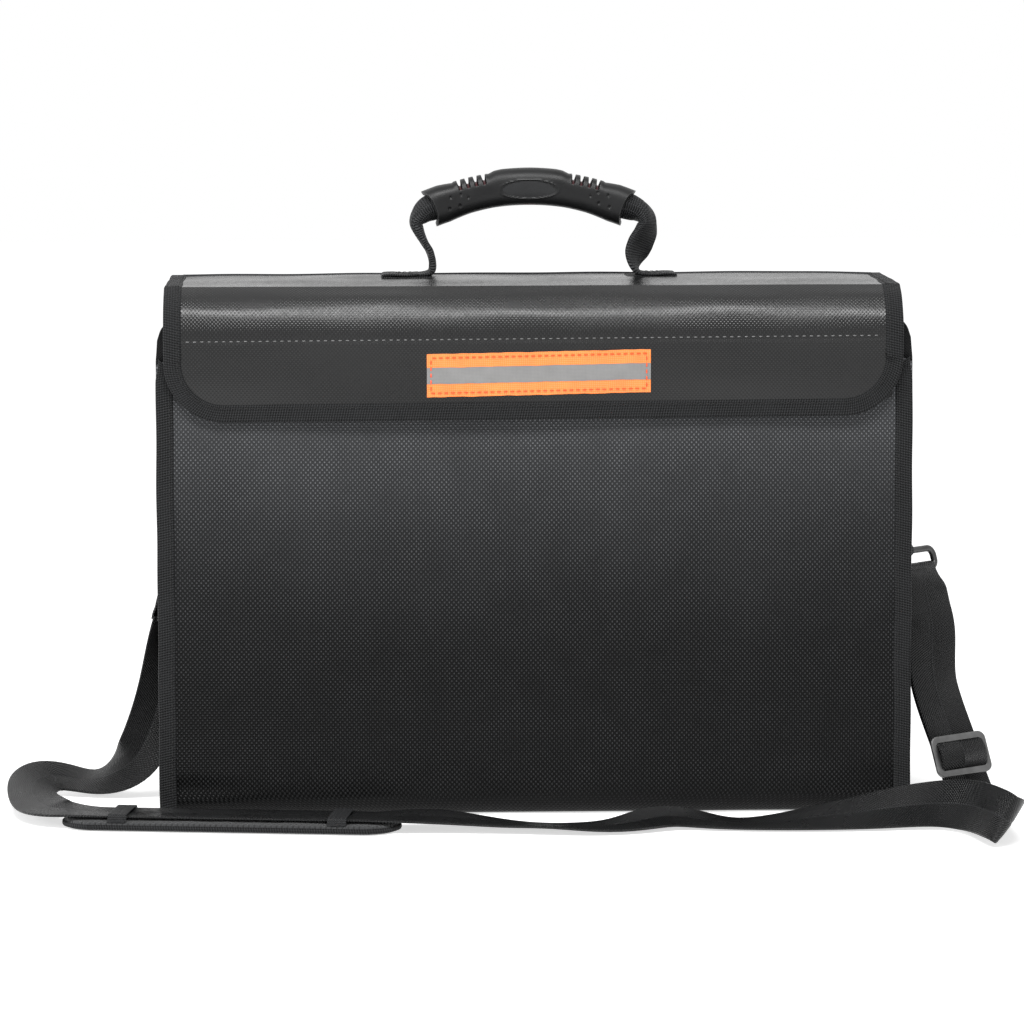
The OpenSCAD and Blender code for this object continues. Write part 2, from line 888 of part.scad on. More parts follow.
// Sewn end of the strap: a loop on the lower bar and the two layers below it
module strap_end() {
    loop_w = ring_w - 2 * ring_bar_d - 2 * ring_corner_r + ring_bar_d;
    color("#18191b")
        translate([0, 0, -ring_span])
            difference() {
                union() {
                    rotate([0, 90, 0])
                        cylinder(r = tab_bore_r + strap_t, h = loop_w, center = true);
                    translate([-strap_w / 2, -strap_t, -tab_bore_r - strap_end_l])
                        cube([strap_w, 2 * strap_t, strap_end_l]);
                }
                rotate([0, 90, 0])
                    cylinder(r = ring_bar_r + move_gap / 3, h = 2 * strap_w, center = true);
            }
}

module left_strap_end() {
    at_left_ring() strap_end();
}

module right_strap_end() {
    at_right_ring() strap_end();
}

// Shoulder strap

module shoulder_strap() {
    color("#18191b")
        skin(webbing_rings(smooth_rows(strap_route, strap_steps), strap_w, strap_t));
}

module adjuster_tail() {
    rows = [for (i = [slider_row:len(strap_route) - 1]) strap_route[i]];
    color("#18191b")
        skin(webbing_rings(smooth_rows(rows, strap_steps), strap_w, strap_t, strap_t + tail_gap));
}

// Frame of the adjuster: across the strap, up along it, off its face
slider_up = unit(place(strap_route[slider_row + 1]) - place(strap_route[slider_row]));
slider_across = unit(edge_way(strap_route[slider_row])
    - (edge_way(strap_route[slider_row]) * slider_up) * slider_up);
slider_off = cross(slider_up, slider_across);
slider_back = 1.5 * strap_t + tail_gap + move_gap;

module on_slider() {
    c = place(strap_route[slider_row]);
    multmatrix([
        [slider_across[0], slider_up[0], -slider_off[0], c[0]],
        [slider_across[1], slider_up[1], -slider_off[1], c[1]],
        [slider_across[2], slider_up[2], -slider_off[2], c[2]],
        [0, 0, 0, 1]
    ])
        mirror([0, 0, 1])
            translate([0, 0, slider_back])
                children();
}

module rounded_plate(w, h, r) {
    square([w - 2 * r, h], center = true);
    square([w, h - 2 * r], center = true);
    for (x = [-1, 1]) for (y = [-1, 1])
        translate([x * (w / 2 - r), y * (h / 2 - r)])
            circle(r = r);
}

module strap_slider() {
    window_w = strap_w + 2 * strap_gap;
    window_h = (slider_h - 3 * slider_bar) / 2;
    color("#6a6c70")
        on_slider()
            linear_extrude(height = slider_t)
                difference() {
                    rounded_plate(slider_w, slider_h, slider_bar);
                    for (side = [-1, 1])
                        translate([0, side * (window_h + slider_bar) / 2])
                            rounded_plate(window_w, window_h, 1);
                }
}

// Webbing sewn round the middle bar of the adjuster
module slider_loop() {
    bar_r = norm([slider_bar, slider_t]) / 2 + 0.1;
    color("#18191b")
        on_slider()
            translate([-strap_w / 2, 0, slider_t / 2])
                rotate([90, 0, 90])
                    linear_extrude(height = strap_w)
                        difference() {
                            intersection() {
                                circle(r = bar_r + strap_t);
                                translate([-2 * bar_r - strap_t, -slider_t / 2])
                                    square(4 * (bar_r + strap_t));
                            }
                            square([slider_bar, slider_t], center = true);
                        }
}

// Shoulder pad

pad_sides = 40;

// Round-ended outline of the pad, drawn in from its edge
function pad_ring(inset, z) =
    let (r = pad_w / 2 - inset, run = pad_l / 2 - pad_w / 2)
    [for (k = [0:pad_sides - 1])
        let (a = (k + 0.5) * 360 / pad_sides)
        [(cos(a) > 0 ? run : -run) + r * cos(a), r * sin(a), z]];

module on_pad() {
    translate(pad_middle)
        rotate([0, 0, pad_turn])
            children();
}

module shoulder_pad() {
    color("#1d1e20")
        on_pad()
            skin([
                pad_ring(3, 0),
                pad_ring(0.8, 0.16 * pad_t),
                pad_ring(0, 0.4 * pad_t),
                pad_ring(0.5, 0.65 * pad_t),
                pad_ring(2.4, 0.88 * pad_t),
                pad_ring(5.5, 0.97 * pad_t),
                pad_ring(12, pad_t)
            ]);
}

module pad_outline(r) {
    run = pad_l / 2 - pad_w / 2;
    square([2 * run, 2 * r], center = true);
    for (side = [-1, 1])
        translate([side * run, 0])
            circle(r = r);
}

module pad_binding() {
    color("#141516")
        on_pad()
            translate([0, 0, 0.2 * pad_t])
                linear_extrude(height = 0.45 * pad_t)
                    difference() {
                        pad_outline(pad_w / 2 + binding_t);
                        pad_outline(pad_w / 2);
                    }
}

module pad_keeper(side) {
    inner_w = strap_w + 4 * strap_gap;
    inner_top = strap_over_pad + strap_t / 2 + strap_gap;
    outer_w = inner_w + 4 * keeper_t;
    color("#222326")
        on_pad()
            along_x(side * keeper_x - keeper_l / 2, side * keeper_x + keeper_l / 2)
                difference() {
                    translate([-outer_w / 2, 0.97 * pad_t])
                        square([outer_w, inner_top + keeper_t - 0.97 * pad_t]);
                    translate([-inner_w / 2, 0])
                        square([inner_w, inner_top]);
                }
}

module left_pad_keeper() {
    pad_keeper(-1);
}

module right_pad_keeper() {
    pad_keeper(1);
}

front_panel();
back_panel();
base_panel();
left_gusset();
right_gusset();
front_lining();
back_lining();
base_lining();
left_lining();
right_lining();
left_front_binding();
right_front_binding();
left_rear_binding();
right_rear_binding();
loop_tape();
lid_panel();
lid_lining();
left_lid_binding();
right_lid_binding();
left_handle_tail();
right_handle_tail();
flap_panel();
flap_binding();
hook_tape();
reflective_tape();
silver_stripe();
handle_grip();
grip_core();
handle_webbing();
left_ring_tab();
right_ring_tab();
left_ring();
right_ring();
left_strap_end();
right_strap_end();
shoulder_strap();
adjuster_tail();
strap_slider();
slider_loop();
shoulder_pad();
pad_binding();
left_pad_keeper();
right_pad_keeper();
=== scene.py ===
"""Looks of the battery safe bag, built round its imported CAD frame.

Sizes are in millimetres until a mesh is made.
"""

import math

import bmesh
import bpy
import numpy as np
from mathutils import Matrix, Vector


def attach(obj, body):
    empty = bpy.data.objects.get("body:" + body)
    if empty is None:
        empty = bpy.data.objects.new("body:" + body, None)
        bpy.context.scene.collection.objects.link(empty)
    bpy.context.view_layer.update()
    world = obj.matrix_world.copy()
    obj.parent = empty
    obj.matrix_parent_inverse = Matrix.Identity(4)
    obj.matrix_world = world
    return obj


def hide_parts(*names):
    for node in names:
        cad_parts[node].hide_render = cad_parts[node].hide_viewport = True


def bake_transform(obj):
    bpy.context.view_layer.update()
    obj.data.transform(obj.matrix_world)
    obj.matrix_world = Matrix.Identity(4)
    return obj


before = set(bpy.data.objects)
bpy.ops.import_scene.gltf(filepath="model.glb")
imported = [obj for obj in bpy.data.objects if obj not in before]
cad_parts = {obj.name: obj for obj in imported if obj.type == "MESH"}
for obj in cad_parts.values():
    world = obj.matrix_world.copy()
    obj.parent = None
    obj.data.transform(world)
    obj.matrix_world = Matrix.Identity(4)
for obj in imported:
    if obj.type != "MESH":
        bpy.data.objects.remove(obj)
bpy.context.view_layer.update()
MM = 0.001
SIDES = ((-1, "left"), (1, "right"))
FORWARD = (0, -1, 0)
RIGHT, BACK, UP = np.eye(3)

# Places of the CAD part that the cloth follows
FLANGE_X = 219.4
GUSSET_X = 209.4
SEAM_OUT = 0.6
FRONT_Y = -62.6
FRONT_TOP = 283.0
BACK_Y = 67.4
MIDDLE_Y = 2.4
FLOOR_R = 11.0
REAR_Z = 299.5
REAR_R = 10.9
PANEL_TOP = 304.2
FRONT_BINDING_TOP = 269.0
REAR_BINDING_TOP = 296.0
LINING_IN = 3.5
LINING_X = 195.0
PILE_TOP = 279.0
PILE_LOW = 245.0
FLAP_Y = -67.3
FOLD_Y = -38.3
LID_TOP = 310.0
LID_X = 214.4
ROLL_R = 29.0
ROLL_Z = LID_TOP - ROLL_R
FLAP_Z = 233.5
CORNER_R = 34.4
STRIP_X = 2.6
STRIP_Z = 260.5
STRIP_HALF = 65.0
HANDLE_Y = 24.0
ARCH_Z = 219.0
ARCH_R = 146.0
RING_Z = 147.5
RING_LOW = -11.5

# Rows of stitches: pitch, length, width and height
BINDING_STITCH = (3.6, 2.3, 0.6, 0.2)
ROLL_STITCH = (4.2, 1.9, 0.6, 0.3)
STRIP_STITCH = (3.8, 2.4, 0.8, 0.3)
TAIL_STITCH = (3.2, 2.2, 0.6, 0.25)
HANGER_STITCH = (2.6, 1.8, 0.6, 0.25)
STRAP_STITCH = (3.2, 2.2, 0.6, 0.2)


# Numbers, points and paths


def unit(v):
    v = np.asarray(v, float)
    return v / np.maximum(np.linalg.norm(v, axis=-1, keepdims=True), 1e-9)


def joined(*parts):
    """Points from their coordinates, any of which may be a single number."""
    return np.stack(np.broadcast_arrays(*parts), axis=-1)


def soft(u, v, seed):
    """Smooth, repeatable unevenness of about -1 to 1."""
    waves = ((1.7, 0.9, 1.0, 0.0), (-1.1, 2.3, 1.7, 1.0), (2.9, -0.6, 2.3, 2.0), (0.7, 3.1, 0.6, 3.0))
    return sum(np.sin(a * u + b * v + c * seed + d) for a, b, c, d in waves) / len(waves)


def rise(x, low, high):
    """0 up to low, 1 from high on, smooth between."""
    t = np.clip((np.asarray(x, float) - low) / (high - low), 0, 1)
    return t * t * (3 - 2 * t)


def hump(x, middle, half):
    """1 at the middle, falling smoothly to 0 at half away from it."""
    return rise(1 - np.abs((x - middle) / half), 0, 1)


def angles(start, end, count):
    """Even angles between two, which are in degrees."""
    return np.radians(np.linspace(start, end, count))


def corner_arc(radius, over):
    """Drop of a round corner at a place that lies over past its start."""
    return radius - np.sqrt(np.clip(radius ** 2 - np.clip(over, 0, radius) ** 2, 0, None))


def rounded(count, power=1.0):
    """Cosines and sines round a section, squarer where the power is below 1."""
    phi = np.linspace(0, 2 * math.pi, count, endpoint=False)
    return [np.sign(v) * np.abs(v) ** power for v in (np.cos(phi), np.sin(phi))]


def lengths(path):
    path = np.asarray(path, float)
    return np.concatenate([[0.0], np.cumsum(np.linalg.norm(np.diff(path, axis=0), axis=1))])


def catmull(rows, steps):
    """Rows drawn out smoothly, through every one of them."""
    rows = np.asarray(rows, float)
    ends = np.concatenate([rows[:1], rows, rows[-1:]])
    a, b, c, d = (ends[k:len(ends) - 3 + k, None] for k in range(4))
    t = np.arange(steps)[:, None] / steps
    q = 2 * b + (c - a) * t + (2 * a - 5 * b + 4 * c - d) * t * t + (3 * b - a - 3 * c + d) * t ** 3
    return np.concatenate([0.5 * q.reshape(-1, rows.shape[1]), rows[-1:]])


def tangents(path, loop=False):
    first, last = (path[-1:], path[:1]) if loop else (path[:1], path[-1:])
    ends = np.concatenate([first, path, last])
    return unit(ends[2:] - ends[:-2])


def square_to(edge, t):
    """Unit ways square to the tangents, nearest to the edge's own way."""
    edge = np.broadcast_to(np.asarray(edge, float), t.shape)
    return unit(edge - np.sum(edge * t, axis=1, keepdims=True) * t)


def turned(vectors, axes, angle):
    """Vectors turned about the axes, which stand square to them."""
    angle = np.asarray(angle, float)[..., None]
    return vectors * np.cos(angle) + np.cross(axes, vectors) * np.sin(angle)


def swept(path, a, w, b, f):
    """Rings along a path: a is how far each point stands off along w, and b along f."""
    w, f = (np.broadcast_to(np.asarray(way, float), path.shape)[:, None, :] for way in (w, f))
    return path[:, None, :] + a[..., None] * w + b[..., None] * f


def tipped(a, b, angle):
    """Two ways that stand square to each other, turned from the first towards the second."""
    c, s = math.cos(angle), math.sin(angle)
    return c * a + s * b, c * b - s * a


class Spot:
    """A local frame: its middle and the ways along, off and up."""

    def __init__(self, middle, along, off, up):
        self.middle = np.array(middle, float)
        self.along, self.off, self.up = along, off, up

    def at(self, points):
        return self.middle + np.asarray(points, float) @ np.array([self.along, self.off, self.up])


def through(corners, count):
    """Points on straight runs from corner to corner."""
    corners = np.asarray(corners, float)
    return np.concatenate([np.linspace(a, b, count)[:-1] for a, b in zip(corners, corners[1:])])


def sewn_box(x0, x1, y0, y1, count):
    """Line of a box stitch with one diagonal."""
    return through([(x0, y0), (x1, y0), (x1, y1), (x0, y1), (x0, y0), (x1, y1)], count)


# Meshes


def add_object(name, data):
    obj = bpy.data.objects.new(name, data)
    bpy.context.collection.objects.link(obj)
    return obj


def add_mesh(name, points, faces, uv=None, crease=40.0):
    """Object that is smooth apart from edges sharper than the crease, in degrees."""
    mesh = bpy.data.meshes.new(name)
    mesh.from_pydata((np.asarray(points, float) * MM).tolist(), [], faces)
    if uv is not None:
        layer = mesh.uv_layers.new(name="Cut")
        corners = np.empty(len(mesh.loops), dtype=np.int32)
        mesh.loops.foreach_get("vertex_index", corners)
        layer.data.foreach_set("uv", np.asarray(uv, np.float32)[corners].ravel())
    work = bmesh.new()
    work.from_mesh(mesh)
    bmesh.ops.recalc_face_normals(work, faces=work.faces)
    limit = math.radians(crease)
    for edge in work.edges:
        edge.smooth = len(edge.link_faces) == 2 and edge.calc_face_angle() < limit
    for face in work.faces:
        face.smooth = True
    work.to_mesh(mesh)
    work.free()
    return add_object(name, mesh)


def grid_faces(rows, columns, start=0, loop=False):
    faces = []
    for i in range(rows - 1):
        for j in range(columns if loop else columns - 1):
            a = start + i * columns + j
            b = start + i * columns + (j + 1) % columns
            faces.append((a, b, b + columns, a + columns))
    return faces


def sheet(name, face, thick, uv=None):
    """Closed cloth from a grid of its outer side, rows by columns, with its thickness to the inside."""
    rows, columns = face.shape[:2]
    back = face - thick * unit(np.cross(np.gradient(face, axis=0), np.gradient(face, axis=1)))
    if uv is None:
        uv = joined(lengths(face[rows // 2])[None, :], lengths(face[:, columns // 2])[:, None])
    size = rows * columns
    faces = grid_faces(rows, columns)
    faces += [tuple(size + k for k in reversed(corners)) for corners in faces]
    index = np.arange(size).reshape(rows, columns)
    for edge in (index[0], index[:, -1], index[-1, ::-1], index[::-1, 0]):
        edge = edge.tolist()
        faces += [(a, a + size, b + size, b) for a, b in zip(edge, edge[1:])]
    points = np.concatenate([face.reshape(-1, 3), back.reshape(-1, 3)])
    return add_mesh(name, points, faces, np.tile(uv.reshape(-1, 2), (2, 1)))


def loft(name, rings, uv=None, caps=True, crease=50.0, loop=False):
    """Solid through equal closed rings of points; a loop joins its last ring to the first."""
    rings = np.asarray(rings, float)
    rows, columns = rings.shape[:2]
    faces = grid_faces(rows, columns, 0, True)
    last = (rows - 1) * columns
    if loop:
        faces += [(last + j, last + (j + 1) % columns, (j + 1) % columns, j) for j in range(columns)]
    elif caps:
        faces += [tuple(range(columns)), tuple(last + j for j in reversed(range(columns)))]
    if uv is not None:
        uv = np.asarray(uv, float).reshape(-1, 2)
    return add_mesh(name, rings.reshape(-1, 3), faces, uv, crease)


# Section of webbing: share of half the width, share of half the thickness
WEB_ACROSS = np.array([-1, -0.985, -0.93, -0.55, -0.11, 0, 0.11, 0.55, 0.93, 0.985, 1])
WEB_HIGH = np.array([0.35, 0.8, 1, 0.97, 0.97, 0.7, 0.97, 0.97, 1, 0.8, 0.35])


def ribbon(name, path, edge, width, thick, lift=0.0, cup=0.0):
    """Flat webbing along a path, with its marked edge the given way; width and cup may change along it."""
    path = np.asarray(path, float)
    t = tangents(path)
    w = square_to(edge, t)
    f = np.cross(t, w)
    wide, cupped = (np.broadcast_to(np.asarray(v, float), len(path))[:, None] for v in (width, cup))
    across = np.concatenate([WEB_ACROSS, WEB_ACROSS[::-1]])
    high = np.concatenate([WEB_HIGH, -WEB_HIGH[::-1]]) * thick / 2
    u = across * wide / 2
    rings = swept(path + lift * f, u, w, high + cupped * (across ** 2 - 0.4), f)
    return loft(name, rings, joined(u, lengths(path)[:, None]), crease=60)


def edging(name, path, out, face, width, layers):
    """Tape folded round the edge of cloth: the path is the cloth's edge, out leaves it, face crosses it."""
    thick = 0.6
    half = layers / 2
    high = half + thick
    upper = [(-width + thick, half + 0.3 * thick), (-width + 1.2, high), (-0.55 * width, high), (-0.8, high)]
    tip = [(1.1 * math.cos(a) - 0.5, high * math.sin(a)) for a in angles(80, -80, 9)]
    lower = [(x, -z) for x, z in reversed(upper)]
    inner = [(-width + thick, -half), (-0.4, -half), (0.0, 0.0), (-0.4, half), (-width + thick, half)]
    across, crossing = np.array(upper + tip + lower + inner).T
    rings = swept(path, across, out, crossing, face)
    return loft(name, rings, joined(across, lengths(path)[:, None]), crease=60)


def done(obj, material, slot, body=None, *nodes):
    obj.data.materials.append(material)
    if body:
        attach(obj, body)
    if nodes:
        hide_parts(*nodes)
    return obj


# One stitch: places along half its length, and how thick it is there
STITCH = ((-1.0, 0.35), (-0.75, 0.85), (0.0, 1.0), (0.75, 0.85), (1.0, 0.35))
STITCH_SIDES = 6


def sew(name, path, normal, gauge, material, slot, body=None):
    """A row of sewn stitches along a path on a face."""
    pitch, length, width, height = gauge
    normal = unit(np.broadcast_to(np.asarray(normal, float), path.shape))
    along = lengths(path)
    count = max(int(along[-1] / pitch), 1)
    spots = (np.arange(count) + 0.5) * along[-1] / count
    lines = (path, normal, tangents(path))
    middle, n, t = (joined(*[np.interp(spots, along, line[:, k]) for k in range(3)]) for line in lines)
    n, t = unit(n), unit(t)
    b = np.cross(n, t)
    place, size = np.array(STITCH).T[:, :, None]
    c, s = rounded(STITCH_SIDES)
    high = height * (0.9 - 0.9 * place * place) + s * size * height / 2
    one = joined(place * length / 2, c * size * width / 2, high).reshape(-1, 3)
    points = middle[:, None, :] + one @ np.stack([t, b, n], axis=1)
    corners = len(one)
    faces = grid_faces(len(STITCH), STITCH_SIDES, 0, True)
    faces += [tuple(range(STITCH_SIDES)), tuple(reversed(range(corners - STITCH_SIDES, corners)))]
    faces = [tuple(corners * k + v for v in face) for k in range(count) for face in faces]
    return done(add_mesh(name, points.reshape(-1, 3), faces, None, 60), material, slot, body)


# Materials: every pattern is drawn from the cloth's own cut, in millimetres


class Value:
    """Output of a node, with short words for what is made from it."""

    def __init__(self, socket):
        self.socket = socket

    def into(self, kind, *inputs, **settings):
        return add_node(self.socket.id_data, kind, dict(enumerate((self,) + inputs)), **settings)

    def maths(self, operation, other=0.0, clamp=False):
        return self.into("ShaderNodeMath", other, operation=operation, use_clamp=clamp)

    def __add__(self, other):
        return self.maths("ADD", other)

    def __sub__(self, other):
        return self.maths("SUBTRACT", other)

    def __mul__(self, other):
        return self.maths("MULTIPLY", other)

    def wave(self, pitch):
        return (self * (2 * math.pi / pitch)).maths("SINE")

    def ramp(self, low, high, a=0.0, b=1.0):
        return self.into("ShaderNodeMapRange", low, high, a, b, clamp=True)

    def spread(self, low, high):
        """Noise, whose values lie about its middle, drawn out from low to high."""
        return self.ramp(0.3, 0.7, low, high)

    def mix(self, a, b):
        """Colour a where the value is 0, and b where it is 1."""
        return add_node(self.socket.id_data, "ShaderNodeMix", {0: self, 6: a, 7: b}, 2, data_type="RGBA")


def fill(made, inputs):
    """Sets the inputs of a node, or links them where they are values."""
    for key, value in inputs.items():
        if isinstance(value, Value):
            made.id_data.links.new(value.socket, made.inputs[key])
        else:
            made.inputs[key].default_value = value


def add_node(tree, kind, inputs, output=0, **settings):
    """Adds a node and gives one of its outputs."""
    made = tree.nodes.new(kind)
    for key, value in settings.items():
        setattr(made, key, value)
    fill(made, inputs)
    return Value(made.outputs[output])


class Look:
    """A material; place is a point in the object, and uv its place on the cloth's cut."""

    def __init__(self, name):
        self.material = bpy.data.materials.new(name)
        self.material.use_nodes = True
        self.tree = self.material.node_tree
        self.shader = self.tree.nodes["Principled BSDF"]
        self.place = add_node(self.tree, "ShaderNodeTexCoord", {}, "Object")

    def axes(self, vector):
        split = add_node(self.tree, "ShaderNodeSeparateXYZ", {0: vector}).socket.node
        return [Value(socket) for socket in split.outputs]

    def uv(self):
        return self.axes(add_node(self.tree, "ShaderNodeUVMap", {}, uv_map="Cut"))[:2]

    def edges(self):
        return add_node(self.tree, "ShaderNodeNewGeometry", {}, "Pointiness")

    def noise(self, scale, detail, rough=0.6):
        settings = {"Vector": self.place, "Scale": scale, "Detail": detail, "Roughness": rough}
        return add_node(self.tree, "ShaderNodeTexNoise", settings)

    def bump(self, height, strength, distance):
        settings = {"Strength": strength, "Distance": distance, "Height": height}
        fill(self.shader, {"Normal": add_node(self.tree, "ShaderNodeBump", settings)})

    def finish(self, colour, rough, metal=0.0, specular=0.35, sheen=0.0):
        fill(self.shader, {
            "Base Color": colour, "Roughness": rough, "Metallic": metal, "Specular IOR Level": specular,
            "Sheen Weight": sheen, "Sheen Roughness": 0.5})
        return self.material


def grey(value):
    return (value, value, value, 1.0)


def cool(value):
    return (0.97 * value, value, 1.05 * value, 1.0)


def dotted_cloth(name, low, top, across, down, depth, rough, specular):
    """Coated fire cloth with staggered raised dots; low and top are its dark and light near the floor and
    higher up, the rise between them being painted light from above.
    """
    look = Look(name)
    u, v = look.uv()
    dots = u.wave(across) * v.wave(down)
    patches = look.noise(14, 4)
    fine = look.noise(420, 2)
    streaks = look.noise(60, 2, 0.5)
    up = look.axes(look.place)[2]
    # Painted light: the colour runs from the low tones near the floor to the top tones higher up, as if lit
    # from above.
    share = up.ramp(0.07, 0.27)
    share = share.maths("MULTIPLY", share + patches.spread(-0.12, 0.12), clamp=True)
    dark, light = (share.mix(cool(a), cool(b)) for a, b in zip(low, top))
    # Light dots, partly painted glints of the light from above; they fade out near the floor, keeping the
    # bottom fold dark as painted shade.
    dots_and_painted_glints = dots.ramp(0.3, 0.95) * streaks.spread(0.55, 1.0) * up.ramp(0.004, 0.022)
    look.bump(dots.ramp(-0.1, 0.8) + fine.ramp(0.2, 0.8, 0.0, 0.25), 0.55, depth)
    gloss = patches.spread(rough - 0.06, rough + 0.08) + fine.spread(-0.05, 0.05)
    return look.finish(dots_and_painted_glints.mix(dark, light), gloss, specular=specular)


def woven_cloth(name, dark, light, pitch, rough):
    """Plain close weave."""
    look = Look(name)
    u, v = look.uv()
    weave = u.wave(pitch) * v.wave(pitch)
    patches = look.noise(22, 4)
    base = weave.ramp(-0.6, 0.6).mix(cool(dark), cool(light))
    base = patches.ramp(0.3, 0.75, 0.0, 0.5).mix(base, cool(light * 0.8))
    look.bump(weave, 0.5, 0.0003)
    return look.finish(base, patches.spread(rough - 0.08, rough + 0.08), specular=0.12, sheen=0.03)


def ribbed_tape(name, dark, light, pitch):
    """Binding tape with ribs across it."""
    look = Look(name)
    u, v = look.uv()
    height = (v + u * 0.22).wave(pitch) + u.wave(1.5) * 0.7
    patches = look.noise(60, 3)
    base = height.ramp(-0.7, 0.9).mix(cool(dark), cool(light))
    base = patches.ramp(0.4, 0.75, 0.0, 0.4).mix(base, cool(light))
    look.bump(height, 0.7, 0.0004)
    return look.finish(base, patches.spread(0.55, 0.75), specular=0.12, sheen=0.04)


def webbing(name, dark, light, zig, pitch, rough, specular):
    """Herringbone webbing: slanting ribs that turn at each zig, with a pale line down the broad kind."""
    look = Look(name)
    u, v = look.uv()
    slant = v + (u + 60.0).maths("PINGPONG", zig)
    height = slant.wave(pitch) + u.wave(pitch * 0.62) * 0.4
    patches = look.noise(40, 3)
    base = height.ramp(-0.8, 1.0).mix(cool(dark), cool(light))
    base = patches.ramp(0.35, 0.75, 0.0, 0.25).mix(base, cool(light))
    if zig > 10:
        base = u.maths("ABSOLUTE").ramp(0.2, 0.5, 0.6, 0.0).mix(base, cool(light * 2))
    look.bump(height, 0.8, 0.00035)
    return look.finish(base, patches.spread(rough - 0.07, rough + 0.07), specular=specular)


def fuzzy(name, dark, light):
    """Hook or loop pile."""
    look = Look(name)
    clumps = look.noise(160, 3)
    height = look.noise(1600, 3, 0.7) + clumps * 0.8
    look.bump(height, 0.9, 0.0008)
    base = height.ramp(0.6, 1.2).mix(grey(dark), grey(light))
    return look.finish(base, clumps.spread(0.8, 0.95), specular=0.15, sheen=0.4)


def quilted(name, diamond, pitch):
    """Silvery heat barrier, stitched in diamonds."""
    look = Look(name)
    u, v = look.uv()
    puff = (u + v).wave(diamond).maths("ABSOLUTE") * (u - v).wave(diamond).maths("ABSOLUTE")
    patches = look.noise(24, 4)
    base = patches.spread(0.0, 1.0).mix(grey(0.32), grey(0.46))
    base = puff.ramp(0.0, 0.05, 0.7, 0.0).mix(base, grey(0.2))
    look.bump(puff.maths("POWER", 0.5) + u.wave(pitch) * v.wave(pitch) * 0.06, 0.6, 0.002)
    return look.finish(base, patches.spread(0.35, 0.5), metal=0.35, specular=0.4)


def reflective(name, inner, outer, cell, rough, painted_glint):
    """Prismatic film: small cells with painted glints of pale light, uneven in patches."""
    look = Look(name)
    u, v = look.uv()
    cells = (u + v).wave(cell) * (u - v).wave(cell)
    patches = look.noise(90, 3)
    base = patches.ramp(0.3, 0.72).mix(inner, outer)
    # Painted glints: pale colour on the cells stands in for light that the film sends back.
    base = cells.ramp(-0.4, 1.0, 0.0, painted_glint).mix(base, (1.0, 0.9, 0.75, 1.0))
    look.bump(cells, 0.3, 0.0002)
    return look.finish(base, patches.spread(rough - 0.08, rough + 0.08), specular=0.5)


def moulded(name, dark, light, grain, rough):
    """Moulded plastic with a fine grain, lighter on its edges as a little wear and as painted highlight."""
    look = Look(name)
    patches = look.noise(50, 4)
    base = patches.ramp(0.3, 0.75).mix(dark, light)
    # Lighter on sharp edges and ridges: partly wear, partly a painted highlight, such as the oval's light
    # rim.
    base = look.edges().ramp(0.52, 0.6, 0.0, 0.5).mix(base, grey(0.09))
    look.bump(look.noise(grain, 2), 0.25, 0.0003)
    return look.finish(base, patches.spread(rough - 0.07, rough + 0.08), specular=0.25)


def satin_metal(name, dark, light, rough):
    """Plated wire, satin, brighter where it is rubbed."""
    look = Look(name)
    patches = look.noise(120, 4)
    base = patches.ramp(0.3, 0.75).mix(grey(dark), grey(light))
    base = look.edges().ramp(0.53, 0.62, 0.0, 0.6).mix(base, grey(light * 1.5))
    look.bump(look.noise(900, 2, 0.5), 0.15, 0.0002)
    return look.finish(base, patches.spread(rough - 0.08, rough + 0.1), metal=0.85, specular=0.5)


def spacer_mesh(name, pitch):
    """Airy knit with small holes."""
    look = Look(name)
    u, v = look.uv()
    holes = u.wave(pitch) * v.wave(pitch)
    patches = look.noise(70, 3)
    base = holes.ramp(0.2, 0.6).mix(cool(0.03), grey(0.008))
    base = patches.ramp(0.35, 0.75, 0.0, 0.5).mix(base, cool(0.04))
    look.bump(holes.ramp(0.1, 0.6, 1.0, 0.0) + (u + v).wave(0.9) * 0.15, 0.7, 0.0007)
    return look.finish(base, patches.spread(0.7, 0.85), specular=0.25, sheen=0.25)


def thread(name, dark, light):
    look = Look(name)
    fine = look.noise(2600, 2)
    look.bump(fine, 0.5, 0.0002)
    return look.finish(fine.spread(0.0, 1.0).mix(dark, light), fine.spread(0.55, 0.75), specular=0.3)


# Both dotted cloths carry painted light: lighter towards the top, strongly on the outer cloth and a little
# on the flap.
OUTER_WITH_PAINTED_LIGHT = dotted_cloth("Dotted fire cloth with painted light", (0.0015, 0.043), (0.048, 0.21), 2.6, 3.0, 0.0007, 0.34, 0.10)
LID_CLOTH = dotted_cloth("Flap cloth", (0.002, 0.007), (0.003, 0.012), 2.2, 2.4, 0.0002, 0.26, 0.41)
SIDE = woven_cloth("Side cloth", 0.004, 0.009, 1.7, 0.6)
TAPE = ribbed_tape("Binding tape", 0.002, 0.026, 1.5)
STRAP = webbing("Strap webbing", 0.0015, 0.014, 15.0, 1.7, 0.30, 0.24)
WEB = webbing("Handle webbing", 0.003, 0.04, 0.7, 1.4, 0.55, 0.2)
PILE = fuzzy("Hook and loop pile", 0.006, 0.03)
LINING = quilted("Heat barrier", 56.0, 1.6)
ORANGE = reflective("Reflective orange", (0.82, 0.18, 0.02, 1.0), (0.82, 0.225, 0.03, 1.0), 2.2, 0.4, 0.12)
SILVER = reflective("Reflective silver", grey(0.165), grey(0.20), 1.6, 0.5, 0.05)
RUBBER = moulded("Grip moulding", cool(0.005), cool(0.009), 1500, 0.42)
OVAL = moulded("Grip oval", cool(0.014), cool(0.021), 1500, 0.5)
CORE = moulded("Grip core", (0.030, 0.005, 0.006, 1.0), (0.05, 0.008, 0.010, 1.0), 1200, 0.45)
RING = satin_metal("Ring metal", 0.05, 0.09, 0.35)
SLIDER = satin_metal("Adjuster metal", 0.10, 0.16, 0.42)
